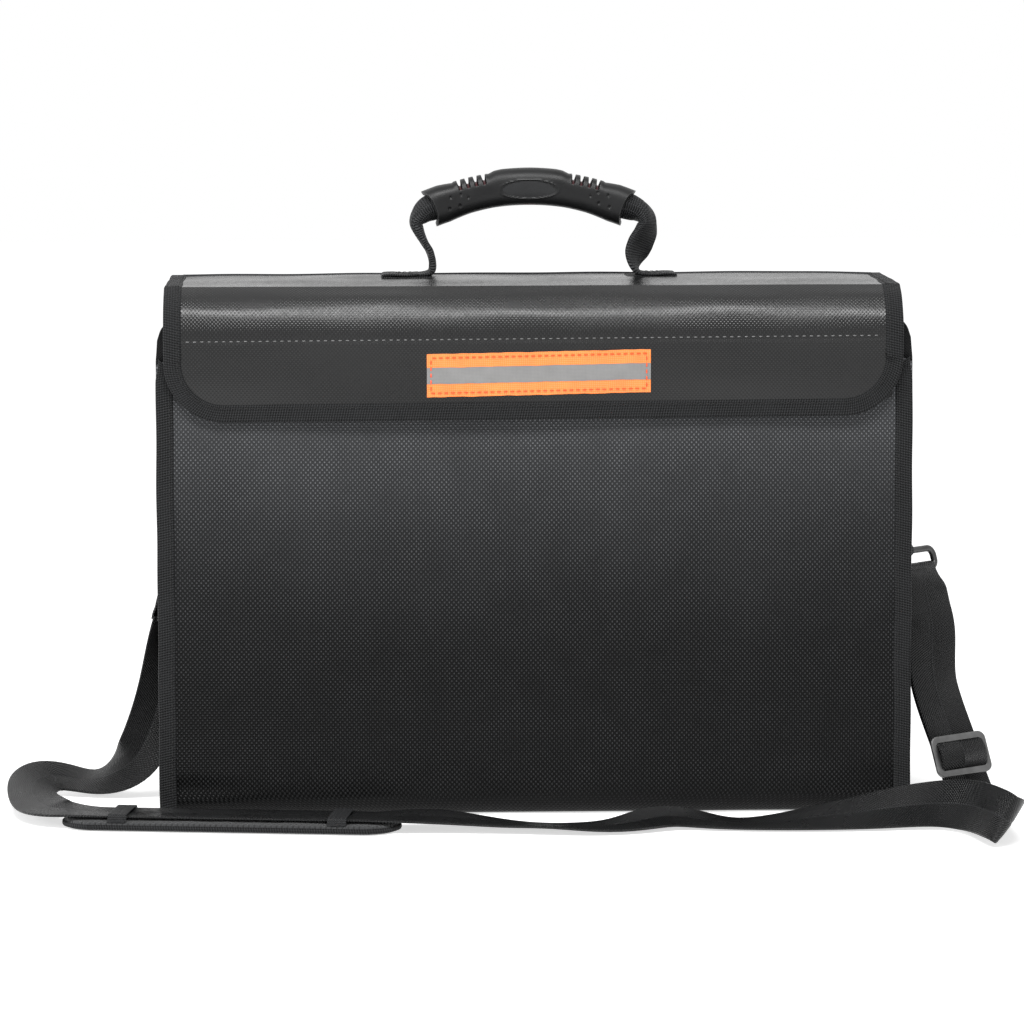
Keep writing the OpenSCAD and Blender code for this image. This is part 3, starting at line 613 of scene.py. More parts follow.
MESH = spacer_mesh("Spacer mesh", 3.2)
PALE_THREAD = thread("Pale thread", grey(0.10), grey(0.20))
DARK_THREAD = thread("Dark thread", grey(0.005), grey(0.012))
RED_THREAD = thread("Red orange thread", (0.75, 0.06, 0.015, 1.0), (0.95, 0.12, 0.03, 1.0))


# Shoulder strap: its rows are the CAD route, middle of the webbing and the way of its marked edge

STRAP_ROUTE = [
    [-217.9, 3.2, 111.8, -0.423, -0.906, 0],
    [-220, 4.2, 100, -0.5, -0.86, 0.03],
    [-220.5, 3, 68, -0.9, -0.35, 0.05],
    [-228, 3, 41, -0.95, 0.1, 0.25],
    [-237, 5, 23.5, -0.75, 0.25, 0.6],
    [-252, 14, 12.5, 0.1, 0.75, 0.65],
    [-268, 22, 7.2, 0.3, 0.93, 0.2],
    [-285, 26, 11, -0.2, 0.82, 0.5],
    [-295.5, 12, 11, -0.85, 0.3, 0.4],
    [-298, -16, 10, -0.97, -0.08, 0.22],
    [-293.5, -50, 9, -0.92, -0.36, -0.1],
    [-285, -78, 9.4, -0.72, -0.65, -0.18],
    [-270, -84.5, 8.8, -0.2, -0.97, -0.05],
    [-255, -86, 7.6, -0.139, -0.99, 0],
    [-235, -88.8, 7.6, -0.139, -0.99, 0],
    [-110, -106.4, 7.6, -0.139, -0.99, 0],
    [-90, -109.2, 7.6, -0.139, -0.99, 0],
    [-57, -110, 8.2, 0, -0.99, -0.12],
    [-18, -112, 3.4, 0, -0.99, 0.06],
    [9, -118, 3.4, 0, -0.985, 0.12],
    [45, -121, 3, 0, -0.995, -0.08],
    [74, -105, 7, 0, -0.965, -0.26],
    [98, -106, 3.4, 0, -0.99, -0.12],
    [124, -111, 1.8, 0, -1, 0],
    [185, -115, 9, -0.13, -0.86, -0.49],
    [214, -113, 12.4, -0.18, -0.7, -0.69],
    [236, -118, 14.8, -0.25, -0.48, -0.84],
    [249, -138, 16.2, -0.33, -0.12, -0.94],
    [255.5, -174, 15.2, -0.45, -0.08, -0.89],
    [259.8, -183, 15.2, -0.5, -0.03, -0.86],
    [262.8, -176, 14, -0.56, 0.03, -0.83],
    [261.5, -150, 9.8, -0.8, 0.08, -0.56],
    [259.5, -114, 6.2, -0.94, 0.08, -0.3],
    [257, -84, 5.4, -0.94, -0.2, -0.24],
    [257.5, -63, 5, -0.92, -0.3, -0.2],
    [258.5, -51.75, 8.25, -0.885, -0.434, -0.168],
    [256, -49.5, 15.5, -0.885, -0.434, -0.168],
    [251, -45, 30, -0.885, -0.434, -0.168],
    [246, -40.5, 44.5, -0.885, -0.434, -0.168],
    [241, -36, 59, -0.885, -0.434, -0.168],
    [237.5, -26, 74, -0.89, -0.45, -0.1],
    [238, -16, 89, -0.86, -0.5, -0.02],
    [239, -10.2, 102.9, -0.76, -0.65, 0],
    [237.1, -8.1, 112.2, -0.707, -0.707, 0],
]
STEPS = 6
UNDER_KEEPER = 15
SLIDER_ROW = 37
STRAP_HALF = 15.0
STRAP_THICK = 1.6
DOUBLED_LIFT = 2.2
EASE_ROUNDS = 10
RIGHT_TWIST = math.radians(-19.5)
strap_rows = catmull(STRAP_ROUTE, STEPS)


def eased(rows):
    """Rows with both edges of the webbing eased, ends kept; the width goes with them."""
    path = rows[:, :3]
    w = square_to(rows[:, 3:], tangents(path))
    edges = [path + STRAP_HALF * w, path - STRAP_HALF * w]
    for line in edges:
        for k in range(EASE_ROUNDS):
            line[1:-1] = (line[:-2] + 2 * line[1:-1] + line[2:]) / 4
    gap = edges[0] - edges[1]
    return np.concatenate([(edges[0] + edges[1]) / 2, unit(gap)], axis=1), np.linalg.norm(gap, axis=1)


def strap_piece(name, rows, node, lift=0.0, cup=0.0, push=0.0):
    """Free length of the strap; above the adjuster it takes the twist of the right loop."""
    rows, wide = eased(rows)
    twist = RIGHT_TWIST * rise(rows[:, 2], 72, 104) * (rows[:, 0] > 200)
    rows[:, 3:] = turned(rows[:, 3:], tangents(rows[:, :3]), twist)
    rows[:, :3] += push
    obj = ribbon(name, rows[:, :3], rows[:, 3:], np.clip(wide, 27, 30.4), STRAP_THICK, lift, cup)
    done(obj, STRAP, "webbing", None, node)
    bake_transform(obj)
    return obj


left_rows = strap_rows[: UNDER_KEEPER * STEPS + 1]
right_rows = strap_rows[UNDER_KEEPER * STEPS:]
tail_rows = strap_rows[SLIDER_ROW * STEPS:]
curl = np.arange(len(right_rows)) / STEPS + UNDER_KEEPER
right_cup = 2.0 * hump(curl, 29.4, 3.0)
right_push = joined(2.5 * hump(curl, 30.2, 1.7), 0.0, 3.2 * hump(curl, 28.2, 1.7))
left_strap = strap_piece("strap_left", left_rows, "shoulder_strap")
right_strap = strap_piece("strap_right", right_rows, "shoulder_strap",
                          cup=right_cup, push=right_push)
strap_piece("strap_doubled", tail_rows, "adjuster_tail", lift=DOUBLED_LIFT)

for strap, rows in ((left_strap, left_rows), (right_strap, right_rows[::-1])):
    line = rows[:, :3] * MM


# Wrapped shell: front, floor, back and the rear fold onto the lid, one soft cloth


def belly(x, z, depth, height):
    """Swell of a stuffed wall."""
    return depth * np.clip(1 - (x / 205) ** 4, 0, 1) * np.sin(np.pi * np.clip((z - 8) / height, 0, 1)) ** 0.8


def off_seams(x):
    return rise(206 - np.abs(x), 0, 24)


def front_push(x, z):
    slack = 0.5 * soft(x / 34, z / 30, 0.4) * rise(232 - z, 0, 40) * off_seams(x)
    tuck = -1.3 * hump(z, 17, 9) * rise(np.abs(x), 150, 205)
    return belly(x, z, 2.2, 222) + slack + tuck


def back_push(x, z):
    return belly(x, z, 2.6, 280) + 0.6 * soft(x / 38, z / 34, 2.1) * off_seams(x)


def lid_rise(x, y):
    dome = 1.3 * np.clip(1 - (x / 214) ** 6, 0, 1) * rise(60 - y, 0, 16) * rise(y, -38, -6)
    return dome + 0.55 * soft(x / 34, y / 22, 4.2) * rise(y, -38, -20)


def shell_rows():
    """The cloth's path from the top of the front, under the bag and up to the lid."""
    r = FLOOR_R
    turn = angles(0, 90, 8)[1:]
    rows = [(FRONT_Y, z, "front") for z in np.linspace(FRONT_TOP, r, 96)]
    rows += [(FRONT_Y + r - r * math.cos(a), r - r * math.sin(a), "floor") for a in turn]
    rows += [(y, 0.0, "floor") for y in np.linspace(FRONT_Y + r, BACK_Y - r, 30)[1:]]
    rows += [(BACK_Y - r + r * math.sin(a), r - r * math.cos(a), "floor") for a in turn]
    rows += [(BACK_Y, z, "back") for z in np.linspace(r, REAR_Z, 96)[1:]]
    r = REAR_R
    turn = angles(0, 90, 12)[1:]
    rows += [(BACK_Y - r + r * math.cos(a), REAR_Z + r * math.sin(a), "lid") for a in turn]
    return rows + [(y, REAR_Z + r, "lid") for y in np.linspace(BACK_Y - r, 46.5, 6)[1:]]


def wrapped_shell():
    rows = shell_rows()
    share = np.linspace(-1, 1, 141)
    face = np.zeros((len(rows), len(share), 3))
    for i, (y, z, part) in enumerate(rows):
        half = GUSSET_X + (FLANGE_X - GUSSET_X) * rise(z, 3, 13)
        if part == "front":
            half = half - 11.5 * rise(z, FRONT_BINDING_TOP - 3, FRONT_BINDING_TOP + 2)
        if z > REAR_BINDING_TOP:
            half = FLANGE_X - 12.0 * rise(z, REAR_BINDING_TOP, REAR_BINDING_TOP + 10)
        x = share * half + SEAM_OUT * (1 + share)
        face[i] = joined(x, y, z)
        if part == "front":
            face[i, :, 1] -= front_push(x, z)
        elif part == "back":
            face[i, :, 1] += back_push(x, z)
        elif part == "lid":
            face[i, :, 2] += (lid_rise(x, y) + 0.5) * rise(67 - y, 4, 14)
    return sheet("wrapped_shell", face, thick=2.0)


shell = done(wrapped_shell(), OUTER_WITH_PAINTED_LIGHT, "outer_cloth", None, "front_panel", "base_panel", "back_panel")
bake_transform(shell)


# Side panels: they bow in, slack in the middle, with loose ears above the bindings


def gusset_x(y, z):
    share = np.clip((y - MIDDLE_Y) / 63.0, -1, 1)
    bow = 11.0 * (1 - share ** 2)
    crease = 1.4 * hump(y, MIDDLE_Y, 9) * rise(z, 40, 140)
    slack = 0.7 * soft(y / 16, z / 30, 3.3) * (1 - share ** 4)
    return GUSSET_X - bow - crease - slack


def outward(face, side):
    return face[:, ::-1] if side < 0 else face


def side_panel(name, side, inset, depth, material, slot, node):
    y0, y1 = FRONT_Y + inset, BACK_Y - inset
    low_r, high_r = max(FLOOR_R - inset, 2.0), max(24.3 - inset, 2.0)
    y = y0 + (y1 - y0) * np.linspace(0, 1, 49)
    low = inset + corner_arc(low_r, low_r - np.minimum(y - y0, y1 - y))
    high = PANEL_TOP - corner_arc(high_r, high_r - (y - y0))
    z = low + (high - low) * np.linspace(1, 0, 120)[:, None]
    face = joined(side * (gusset_x(y, z) - depth), y, z)
    done(sheet(name, outward(face, side), thick=1.5), material, slot, "bag", node)


def ear(name, side):
    """Seam allowance of a side panel at the front corner, loose above its binding."""
    inner = 207.6
    z = np.concatenate([np.linspace(290, 268, 14), np.linspace(264, 11, 40)])[:, None]
    outer = np.interp(z, [268, 280, 286, 290], [219.6, 218.6, 216.4, 212.6])
    share = np.linspace(0, 1, 8)
    x = inner + (outer - inner) * share
    y = -60.5 + 0.9 * rise(z, 268, 290) * np.sin(3.0 * share)
    face = joined(side * x + SEAM_OUT * (1 + side), y, z)
    done(sheet(name, outward(face, side), thick=1.4), SIDE, "side_cloth", "bag")


for side, word in SIDES:
    side_panel(word + "_side", side, 2.0, 0.0, SIDE, "side_cloth", word + "_gusset")
    side_panel(word + "_side_lining", side, 11.0, 1.6, LINING, "lining", word + "_lining")
    ear(word + "_ear", side)


# Linings of front, back and floor


def flat_lining(name, node, y, z, body="bag"):
    y, z = np.broadcast_arrays(y, z)
    face = joined(np.linspace(-LINING_X, LINING_X, 60), y[:, None], z[:, None])
    done(sheet(name, face, thick=1.4), LINING, "lining", body, node)


flat_lining("front_barrier", "front_lining", FRONT_Y + LINING_IN, np.linspace(FRONT_TOP, FLOOR_R, 40))
flat_lining("back_barrier", "back_lining", BACK_Y - LINING_IN, np.linspace(FLOOR_R, 303, 40))
flat_lining("floor_barrier", "base_lining", np.linspace(BACK_Y - FLOOR_R, FRONT_Y + FLOOR_R, 24), LINING_IN)


# Corner bindings


def corner_binding(word, side, rear, top):
    z = np.linspace(4, top, 130)
    ripple = 0.25 * np.sin(z / 9.0 + side) + 0.2 * np.sin(z / 23.0)
    fade = 0.0 if rear else rise(z, top - 14, top)
    x = side * (FLANGE_X - 0.1 + ripple * 0.6 - 1.6 * fade) + SEAM_OUT * (1 + side)
    path = joined(x, BACK_Y - 1.75 if rear else FRONT_Y + 1.75, z)
    tilt = joined(float(side), 0.0, 0.9 * fade ** 2)
    name = word + ("_rear" if rear else "_front") + "_binding"
    tape = edging(name + "_tape", path, unit(tilt), FORWARD, width=10.2, layers=3.5)
    done(tape, TAPE, "binding", "bag", name)
    away = 1 if rear else -1
    line = path + np.array([-side * 7.4, away * 2.45, 0])
    sew(name + "_stitches", line[3:-3], (0, away, 0), BINDING_STITCH, DARK_THREAD, "binding", "bag")


for side, word in SIDES:
    corner_binding(word, side, False, FRONT_BINDING_TOP)
    corner_binding(word, side, True, REAR_BINDING_TOP)


# Lid, roll and flap: one sheet that bends at the fold


def flap_low(x):
    """Lower edge of the flap, with its round corners."""
    return FLAP_Z + 0.6 + corner_arc(CORNER_R, np.abs(x) - (LID_X - CORNER_R)) + 1.2 * x / 215


def flap_push(x, z):
    """How far the flap stands off its flat place."""
    wave = 0.45 * soft(x / 42, z / 26, 5.1)
    curl = hump(z, 234, 26) * np.cos(x / 46 + 0.8)
    return (wave + curl) * rise(ROLL_Z - z, 0, 14)


# The roll starts with a pressed bend: its first stretch runs flat, turns and runs flat again
TOP_TURN = math.radians(90)
BEND_END = math.radians(118)
BEND_TURNS = np.radians([94, 98, 101, 103, 104, 105, 107, 110, 114])
ROLL_TURNS = np.concatenate([BEND_TURNS, np.linspace(BEND_END, math.pi, 16)])
ROLL_START = 40
ROLL_END = ROLL_START + len(ROLL_TURNS)


def lid_rows(x):
    """Path over the lid, the roll and down the flap for one line across."""
    rows = [(x, y, LID_TOP + lid_rise(x, y)) for y in np.linspace(57.0, FOLD_Y, ROLL_START)]
    for a in ROLL_TURNS:
        to_flat = min(a - TOP_TURN, max(BEND_END - a, 0.0))
        r = ROLL_R / math.cos(to_flat) + 0.5 * soft(x / 30, 3 * a, 7.7) * math.sin(2 * a) ** 2
        rows.append((x, FOLD_Y + r * math.cos(a), ROLL_Z + r * math.sin(a)))
    rows += [(x, FLAP_Y - flap_push(x, z), z) for z in np.linspace(ROLL_Z, flap_low(x), 34)[1:]]
    return np.array(rows)


corner_turn = 1 - np.cos(np.linspace(0, math.pi / 2, 24))[:-1]
lid_columns = np.concatenate([
    -LID_X + CORNER_R * corner_turn,
    np.linspace(-LID_X + CORNER_R, LID_X - CORNER_R, 110),
    LID_X - CORNER_R * corner_turn[::-1],
])
lid_face = np.stack([lid_rows(x) for x in lid_columns], axis=1)
lid_along = lengths(lid_face[:, lid_face.shape[1] // 2])[:, None]
on_flap = np.arange(len(lid_face))[:, None] > ROLL_END
lid_down = np.where(on_flap, lid_along[ROLL_END] + ROLL_Z - lid_face[..., 2], lid_along)
lid_cloth = sheet("lid_and_flap", lid_face, 2.0, joined(lid_face[..., 0], lid_down))
done(lid_cloth, LID_CLOTH, "flap_cloth", None, "lid_panel", "flap_panel")
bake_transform(lid_cloth)
lid_normal = unit(np.cross(np.gradient(lid_face, axis=0), np.gradient(lid_face, axis=1)))


def lid_edge(name, points, out, normal, node):
    tape = edging(name, points - normal, out, normal, width=10.4, layers=2.0)
    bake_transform(done(tape, TAPE, "binding", None, node))
    line = points - out * 7.6 + normal * 0.7
    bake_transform(sew(name + "_stitches", line, normal, BINDING_STITCH, DARK_THREAD, "binding"))


def round_flap(grid):
    """Values round the flap, from the left of the roll to the right."""
    return np.concatenate([grid[ROLL_START:, 0], grid[-1, 1:-1], grid[ROLL_START:, -1][::-1]])


flap_points = round_flap(lid_face)
flap_normal = round_flap(lid_normal)
flap_out = unit(np.cross(tangents(flap_points), flap_normal))
lid_edge("flap_edge", flap_points, flap_out, flap_normal, "flap_binding")
for column, (side, word) in zip((0, -1), SIDES):
    points, normal = (grid[:ROLL_START + 1, column] for grid in (lid_face, lid_normal))
    lid_edge(word + "_lid_edge", points, np.array([float(side), 0, 0]), normal, word + "_lid_binding")

# Sewn line under the roll, pale thread
sewn_x = np.linspace(-203, 201, 300)
sewn_z = ROLL_Z - 0.4 + 1.05 * sewn_x / 203
sewn = joined(sewn_x, FLAP_Y - 0.05 - flap_push(sewn_x, sewn_z), sewn_z)
sew("roll_stitches", sewn, FORWARD, ROLL_STITCH, PALE_THREAD, "flap_cloth", "flap")


# Tapes behind the flap and the barrier under the lid


def pile_sheet(name, node, y, half, body, away):
    x = np.linspace(-half, half, 120)
    z = np.linspace(PILE_TOP, PILE_LOW, 14)[:, None]
    face = joined(-away * x, y + away * 0.12 * soft(x / 3, z / 3, 1.0), z)
    done(sheet(name, face, thick=1.0), PILE, "hook_loop", body, node)


pile_sheet("loop_pile", "loop_tape", FRONT_Y - 1.15, 208.6, "bag", -1)
pile_sheet("hook_pile", "hook_tape", FLAP_Y + 3.15, 203, "flap", 1)
flat_lining("lid_barrier", "lid_lining", np.linspace(60, -38, 20), LID_TOP - LINING_IN, "lid")


# Reflective strip


def on_strip(x, z, off):
    """Places on the strip's slightly sloping ground, off the flap's face."""
    z = STRIP_Z + z + 1.2 * x / STRIP_HALF
    x = x + STRIP_X
    return joined(x, FLAP_Y - off - flap_push(x, z), z)


def strip(name, low, high, off, thick, material, slot, node, seed):
    x = np.linspace(-STRIP_HALF, STRIP_HALF, 80)
    top = high + 0.22 * soft(x / 4, seed, seed)
    bottom = low + 0.22 * soft(x / 4, seed + 2, seed)
    z = bottom + (top - bottom) * np.linspace(1, 0, 9)[:, None]
    done(sheet(name, on_strip(x, z, off), thick), material, slot, "flap", node)


strip("orange_strip", -12.5, 12.5, 0.55, 0.5, ORANGE, "reflective_orange", "reflective_tape", 0.5)
strip("silver_strip", -4.9, 4.5, 0.78, 0.2, SILVER, "reflective_silver", "silver_stripe", 2.5)
corners = [(62.6 * x, 10.2 * z) for x, z in ((-1, 1), (1, 1), (1, -1), (-1, -1), (-1, 1))]
strip_line = on_strip(*through(corners, 40).T, 0.85)
sew("strip_stitches", strip_line, FORWARD, STRIP_STITCH, RED_THREAD, "reflective_orange", "flap")


# Handle: moulded grip with teeth, dimples and a blank oval

GRIP_END = 24.2
TOOTH_PITCH = 4.75
DIMPLES = [
    (-46.6, 358.8), (-40.4, 360.4), (-36.0, 358.5), (-41.0, 353.7), (-47.1, 352.0),
    (36.6, 359.3), (41.1, 361.5), (47.2, 359.6), (41.5, 354.9), (47.8, 352.7),
]


def on_arch(angle, off, y):
    """Points at an angle along the grip's arch, off its middle line."""
    r = ARCH_R + off
    return joined(r * np.sin(angle), y, ARCH_Z + r * np.cos(angle))


def grip_surface():
    """Grid of the grip's outside, its tooth gaps, its angles and its oval."""
    stations, sides = 280, 112
    c, s = rounded(sides)
    square_c, square_s = rounded(sides, 0.78)
    angle = np.linspace(-1, 1, stations)[:, None] * (GRIP_END - 1.7 * np.abs(c) ** 1.5)
    a = np.abs(angle)
    turns = [0, 6, 7.5, 9.2, 17.3, 18.6, 20.5, GRIP_END]
    up = np.interp(a, turns, [11, 10.9, 10.5, 8.9, 8.9, 9.5, 10.3, 10.6])
    low = np.interp(a, [0, 9, 15, 20.5, GRIP_END], [11.3, 11.2, 11.6, 12.6, 12.2])
    out = 10.0 + 1.3 * rise(a, 17, 24) - 0.4 * hump(a, 12, 7)
    arc = a * math.pi / 180 * ARCH_R
    phase = np.mod(arc - 23.4, TOOTH_PITCH)
    gap = rise(phase, 1.25, 1.6) * (1 - rise(phase, TOOTH_PITCH - 1.6, TOOTH_PITCH - 1.25))
    gap = gap * (arc > 24.2) * (arc < 42.4)
    top = rise(s, 0.3, 0.5)
    toothed = rise(arc, 22.5, 24.0) * (1 - rise(arc, 42.6, 44.0))
    cut = 3.0 * gap * top - 0.5 * toothed * (1 - gap) * rise(s, 0.5, 0.8)
    pts = on_arch(np.radians(angle), np.where(s > 0, up, low) * square_s - cut, HANDLE_Y - out * square_c)
    around = np.roll(pts, -1, axis=1) - np.roll(pts, 1, axis=1)
    normal = unit(np.cross(around, np.gradient(pts, axis=0)))
    from_middle = pts - pts.mean(axis=1, keepdims=True)
    normal = normal * np.sign(np.sum(normal * from_middle, axis=-1, keepdims=True))
    x, z = pts[..., 0], pts[..., 2]
    pit = np.zeros(x.shape)
    for px, pz in DIMPLES:
        pit = np.maximum(pit, 0.75 * (1 - rise(np.hypot(x - px, z - pz), 0.55, 1.25)))
    oval = np.hypot(x / 17.0, (z - 363.5 + x ** 2 / 900) / 5.4)
    pit = np.maximum(pit, 0.55 * (1 - rise(oval, 0.93, 1.0))) - 0.28 * hump(oval, 1.06, 0.07)
    sideways = np.abs(c)[None, :] > 0.25
    return pts - normal * (pit * sideways)[..., None], gap * top, angle, (oval < 0.95) & sideways


# Lip of an end of the grip: size of the ring, and how far it goes out or back in
LIP = ((0.9, 0.2), (0.78, 0.2), (0.72, -1.0), (0.70, -6.0), (0.70, -14.0))


def whole(corners):
    """Faces of a closed grid that have all four corners marked."""
    both = corners & np.roll(corners, -1, axis=1)
    return both[:-1] & both[1:]


def grip_mesh():
    pts, gap, angle, oval = grip_surface()
    lips = []
    for ring in (pts[0], pts[-1]):
        middle = ring.mean(axis=0)
        away = np.array([np.sign(middle[0]) * 0.92, 0, -0.4])
        lips.append([middle + (ring - middle) * size + away * out for size, out in LIP])
    rings = np.concatenate([np.array(lips[0][::-1]), pts, np.array(lips[1])])
    obj = loft("grip_moulding", rings, caps=False, crease=38)
    done(obj, RUBBER, "grip_rubber", "handle", "handle_grip")
    obj.data.materials.append(CORE)
    obj.data.materials.append(OVAL)
    sides = pts.shape[1]
    off_belly = np.abs(np.arange(sides) - 0.75 * sides)
    under = (off_belly < 0.085 * sides * (1 - (angle / 4.6) ** 2)) & (np.abs(angle) < 4.2)
    look = np.zeros((len(rings) - 1, sides), np.int32)
    look[len(LIP):-len(LIP)] = np.where(whole(under) | whole(gap > 0.9), 1, 2 * whole(oval))
    obj.data.polygons.foreach_set("material_index", look.ravel())


def grip_inside():
    """Core of the grip: a bent tube that the webbing runs through."""
    c, s = rounded(48)
    turns = angles(-19, 19, 60)
    rings = []
    for bore, run in ((5.4, turns), (3.6, turns[::-1])):
        for a in run:
            ribs = bore + 0.15 * math.sin(a * 180)
            rings.append(on_arch(a, ribs * s, HANDLE_Y - ribs * c))
    return loft("grip_inside", rings, loop=True, crease=60)


grip_mesh()
done(grip_inside(), CORE, "grip_core", "handle", "grip_core")

# Webbing legs: across, height, half size in the picture's plane, half size along the edge, turn of the edge
LEFT_LEG = [
    [-46, 357.0, 7.4, 7.2, 90],
    [-53, 354.4, 7.9, 7.6, 90],
    [-59.5, 351.6, 7.7, 7.6, 90],
    [-64, 348.0, 6.2, 7.8, 90],
    [-67, 343.5, 4.2, 8.2, 90],
    [-65.8, 338.5, 3.3, 9.0, 88],
    [-62.6, 332.0, 2.2, 10.0, 86],
    [-59.2, 326.5, 2.0, 10.8, 86],
    [-57.7, 321.0, 2.2, 11.4, 90],
    [-57.7, 316.0, 2.2, 11.8, 90],
    [-59.4, 313.7, 1.6, 12.2, 90],
    [-63.5, 312.9, 1.0, 12.4, 90],
    [-69, 312.75, 0.7, 12.4, 90],
]
RIGHT_LEG = [
    [46, 357.0, 7.4, 7.2, 90],
    [53, 354.4, 7.9, 7.6, 90],
    [60.5, 352.4, 7.7, 7.6, 90],
    [66.8, 349.6, 6.4, 7.8, 82],
    [70.8, 344.5, 4.6, 8.4, 66],
    [70.0, 337.5, 3.2, 9.6, 48],
    [67.2, 331.0, 2.4, 10.4, 42],
    [64.8, 325.0, 2.1, 11.0, 50],
    [63.8, 319.0, 2.0, 11.6, 70],
    [64.6, 314.5, 1.8, 12.0, 86],
    [67.5, 312.9, 1.1, 12.3, 90],
    [72.5, 312.75, 0.7, 12.4, 90],
]


def leg(name, rows, side):
    rows = catmull(rows, 7)
    path = joined(rows[:, 0], HANDLE_Y, rows[:, 1])
    t = tangents(path)
    turn = np.radians(rows[:, 4])
    w = square_to(joined(side * np.cos(turn), np.sin(turn), 0.0), t)
    sides = 40
    power = np.interp(rows[:, 3] - rows[:, 2], [0, 4, 9], [1.0, 0.8, 0.45])[:, None]
    c, s = rounded(sides, power)
    across = rows[:, 3:4] * c
    phi = np.linspace(0, 2 * math.pi, sides, endpoint=False)
    pucker = 1 + 0.05 * np.sin(5 * phi + rows[:, 1:2] / 3)
    rings = swept(path, across, w, rows[:, 2:3] * s * pucker, np.cross(t, w))
    obj = loft(name, rings, joined(across * 1.4, lengths(path)[:, None]), crease=70)
    done(obj, WEB, "webbing", None, "handle_webbing")
    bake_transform(obj)


leg("left_leg", LEFT_LEG, -1)
leg("right_leg", RIGHT_LEG, 1)


def tail(word, side):
    """Folded tail of webbing, sewn to the lid."""
    end = 86.5
    turn = angles(-75, 75, 9)
    x = np.concatenate([np.linspace(58, end, 24), end + 0.9 * np.cos(turn), np.linspace(end, 66, 20)])
    lower = 311.0 + 0.25 * np.sin(np.arange(24) / 3.0)
    upper = 312.7 + 0.2 * np.sin(np.arange(20) / 2.5)
    z = np.concatenate([lower, 311.85 + 0.85 * np.sin(turn), upper])
    name = word + "_sewn_tail"
    web = ribbon(name, joined(side * x, HANDLE_Y, z), (0, 1, 0), width=25.0, thick=1.5)
    done(web, WEB, "webbing", "lid", word + "_handle_tail")
    x, y = sewn_box(70, 83, 14.5, 33.5, 12).T
    sew(name + "_stitches", joined(side * x, y, 313.42), UP, TAIL_STITCH, DARK_THREAD, "webbing", "lid")


for side, word in SIDES:
    tail(word, side)


# Rings, their tabs and the strap's sewn ends


def ring_spot(x, turn, lean):
    """Frame of a ring: along its bars, off its face, up."""
    along, level = tipped(RIGHT, BACK, math.radians(turn))
    return Spot((x, 0, RING_Z), along, *tipped(level, UP, math.radians(lean)))


def wire_loop(half_w, high, low, r):
    """Middle line of a rounded rectangle in its own plane."""
    x = half_w - r
    line = []
    for cx, cz, start in ((x, high - r, 90), (x, low + r, 0), (-x, low + r, -90), (-x, high - r, -180)):
        turn = angles(start, start - 90, 9)
        line += list(joined(cx + r * np.cos(turn), 0.0, cz + r * np.sin(turn)))
    points = []
    for a, b in zip(line, line[1:] + line[:1]):
        count = max(int(np.linalg.norm(b - a) / 1.5), 1)
        points += [a + (b - a) * k / count for k in range(count)]
    return np.array(points)


def wire(name, path, face, half_in, half_out, power=1.0):
    """Closed wire of rounded section along a loop."""
    c, s = rounded(20, power)
    w = np.cross(tangents(path, loop=True), np.asarray(face, float))
    return loft(name, swept(path, half_in * c, w, half_out * s, face), loop=True, crease=60)


def hanger(word, tab_end, tab_turn, side):
    """Tab of narrow webbing, sewn to the side panel and folded round the ring's upper bar."""
    flat_x = 200.0
    rows = []
    for share, up in ((0, 56), (0, 34), (0.12, 26), (0.5, 18), (0.88, 10), (1, 3)):
        a = math.radians(90 + (tab_turn - 90) * share)
        x = flat_x + (tab_end[0] - flat_x) * share
        rows.append([x, tab_end[1] * share, RING_Z + up, math.cos(a), math.sin(a), 0])
    rows = catmull(rows, 6)
    snug = float(gusset_x(0.0, 190.0)) + 1.5 - flat_x
    rows[:, 0] += snug * rise(rows[:, 2], 172, 184)
    y, z = sewn_box(-4, 4, 183, 200, 8).T
    sewn = joined(side * (flat_x + snug + 1.3), y, z)
    sew(word + "_hanger_stitches", sewn, (side, 0, 0), HANGER_STITCH, PALE_THREAD, "webbing", "bag")
    rows[:, [0, 3]] *= side
    path = rows[:, :3]
    w = unit(rows[:, 3:])
    f = unit(np.cross(tangents(path), w))
    bar = np.array([side * tab_end[0], tab_end[1], RING_Z])
    turn = angles(20, -200, 20)[:, None]
    eye = bar + 2.95 * (np.cos(turn) * f[-1] + np.sin(turn) * UP)
    off = 0.66 * f[:-2]
    line = np.concatenate([path[:-2] + off, eye, (path[:-2] - off)[::-1]])
    edges = np.concatenate([w[:-2], np.repeat(w[-1:], len(eye), axis=0), w[:-2][::-1]])
    obj = ribbon(word + "_hanger", line, edges, 11.0 - 2.0 * rise(-line[:, 2], -165, -152), thick=1.2)
    done(obj, WEB, "webbing", "bag", word + "_ring_tab")


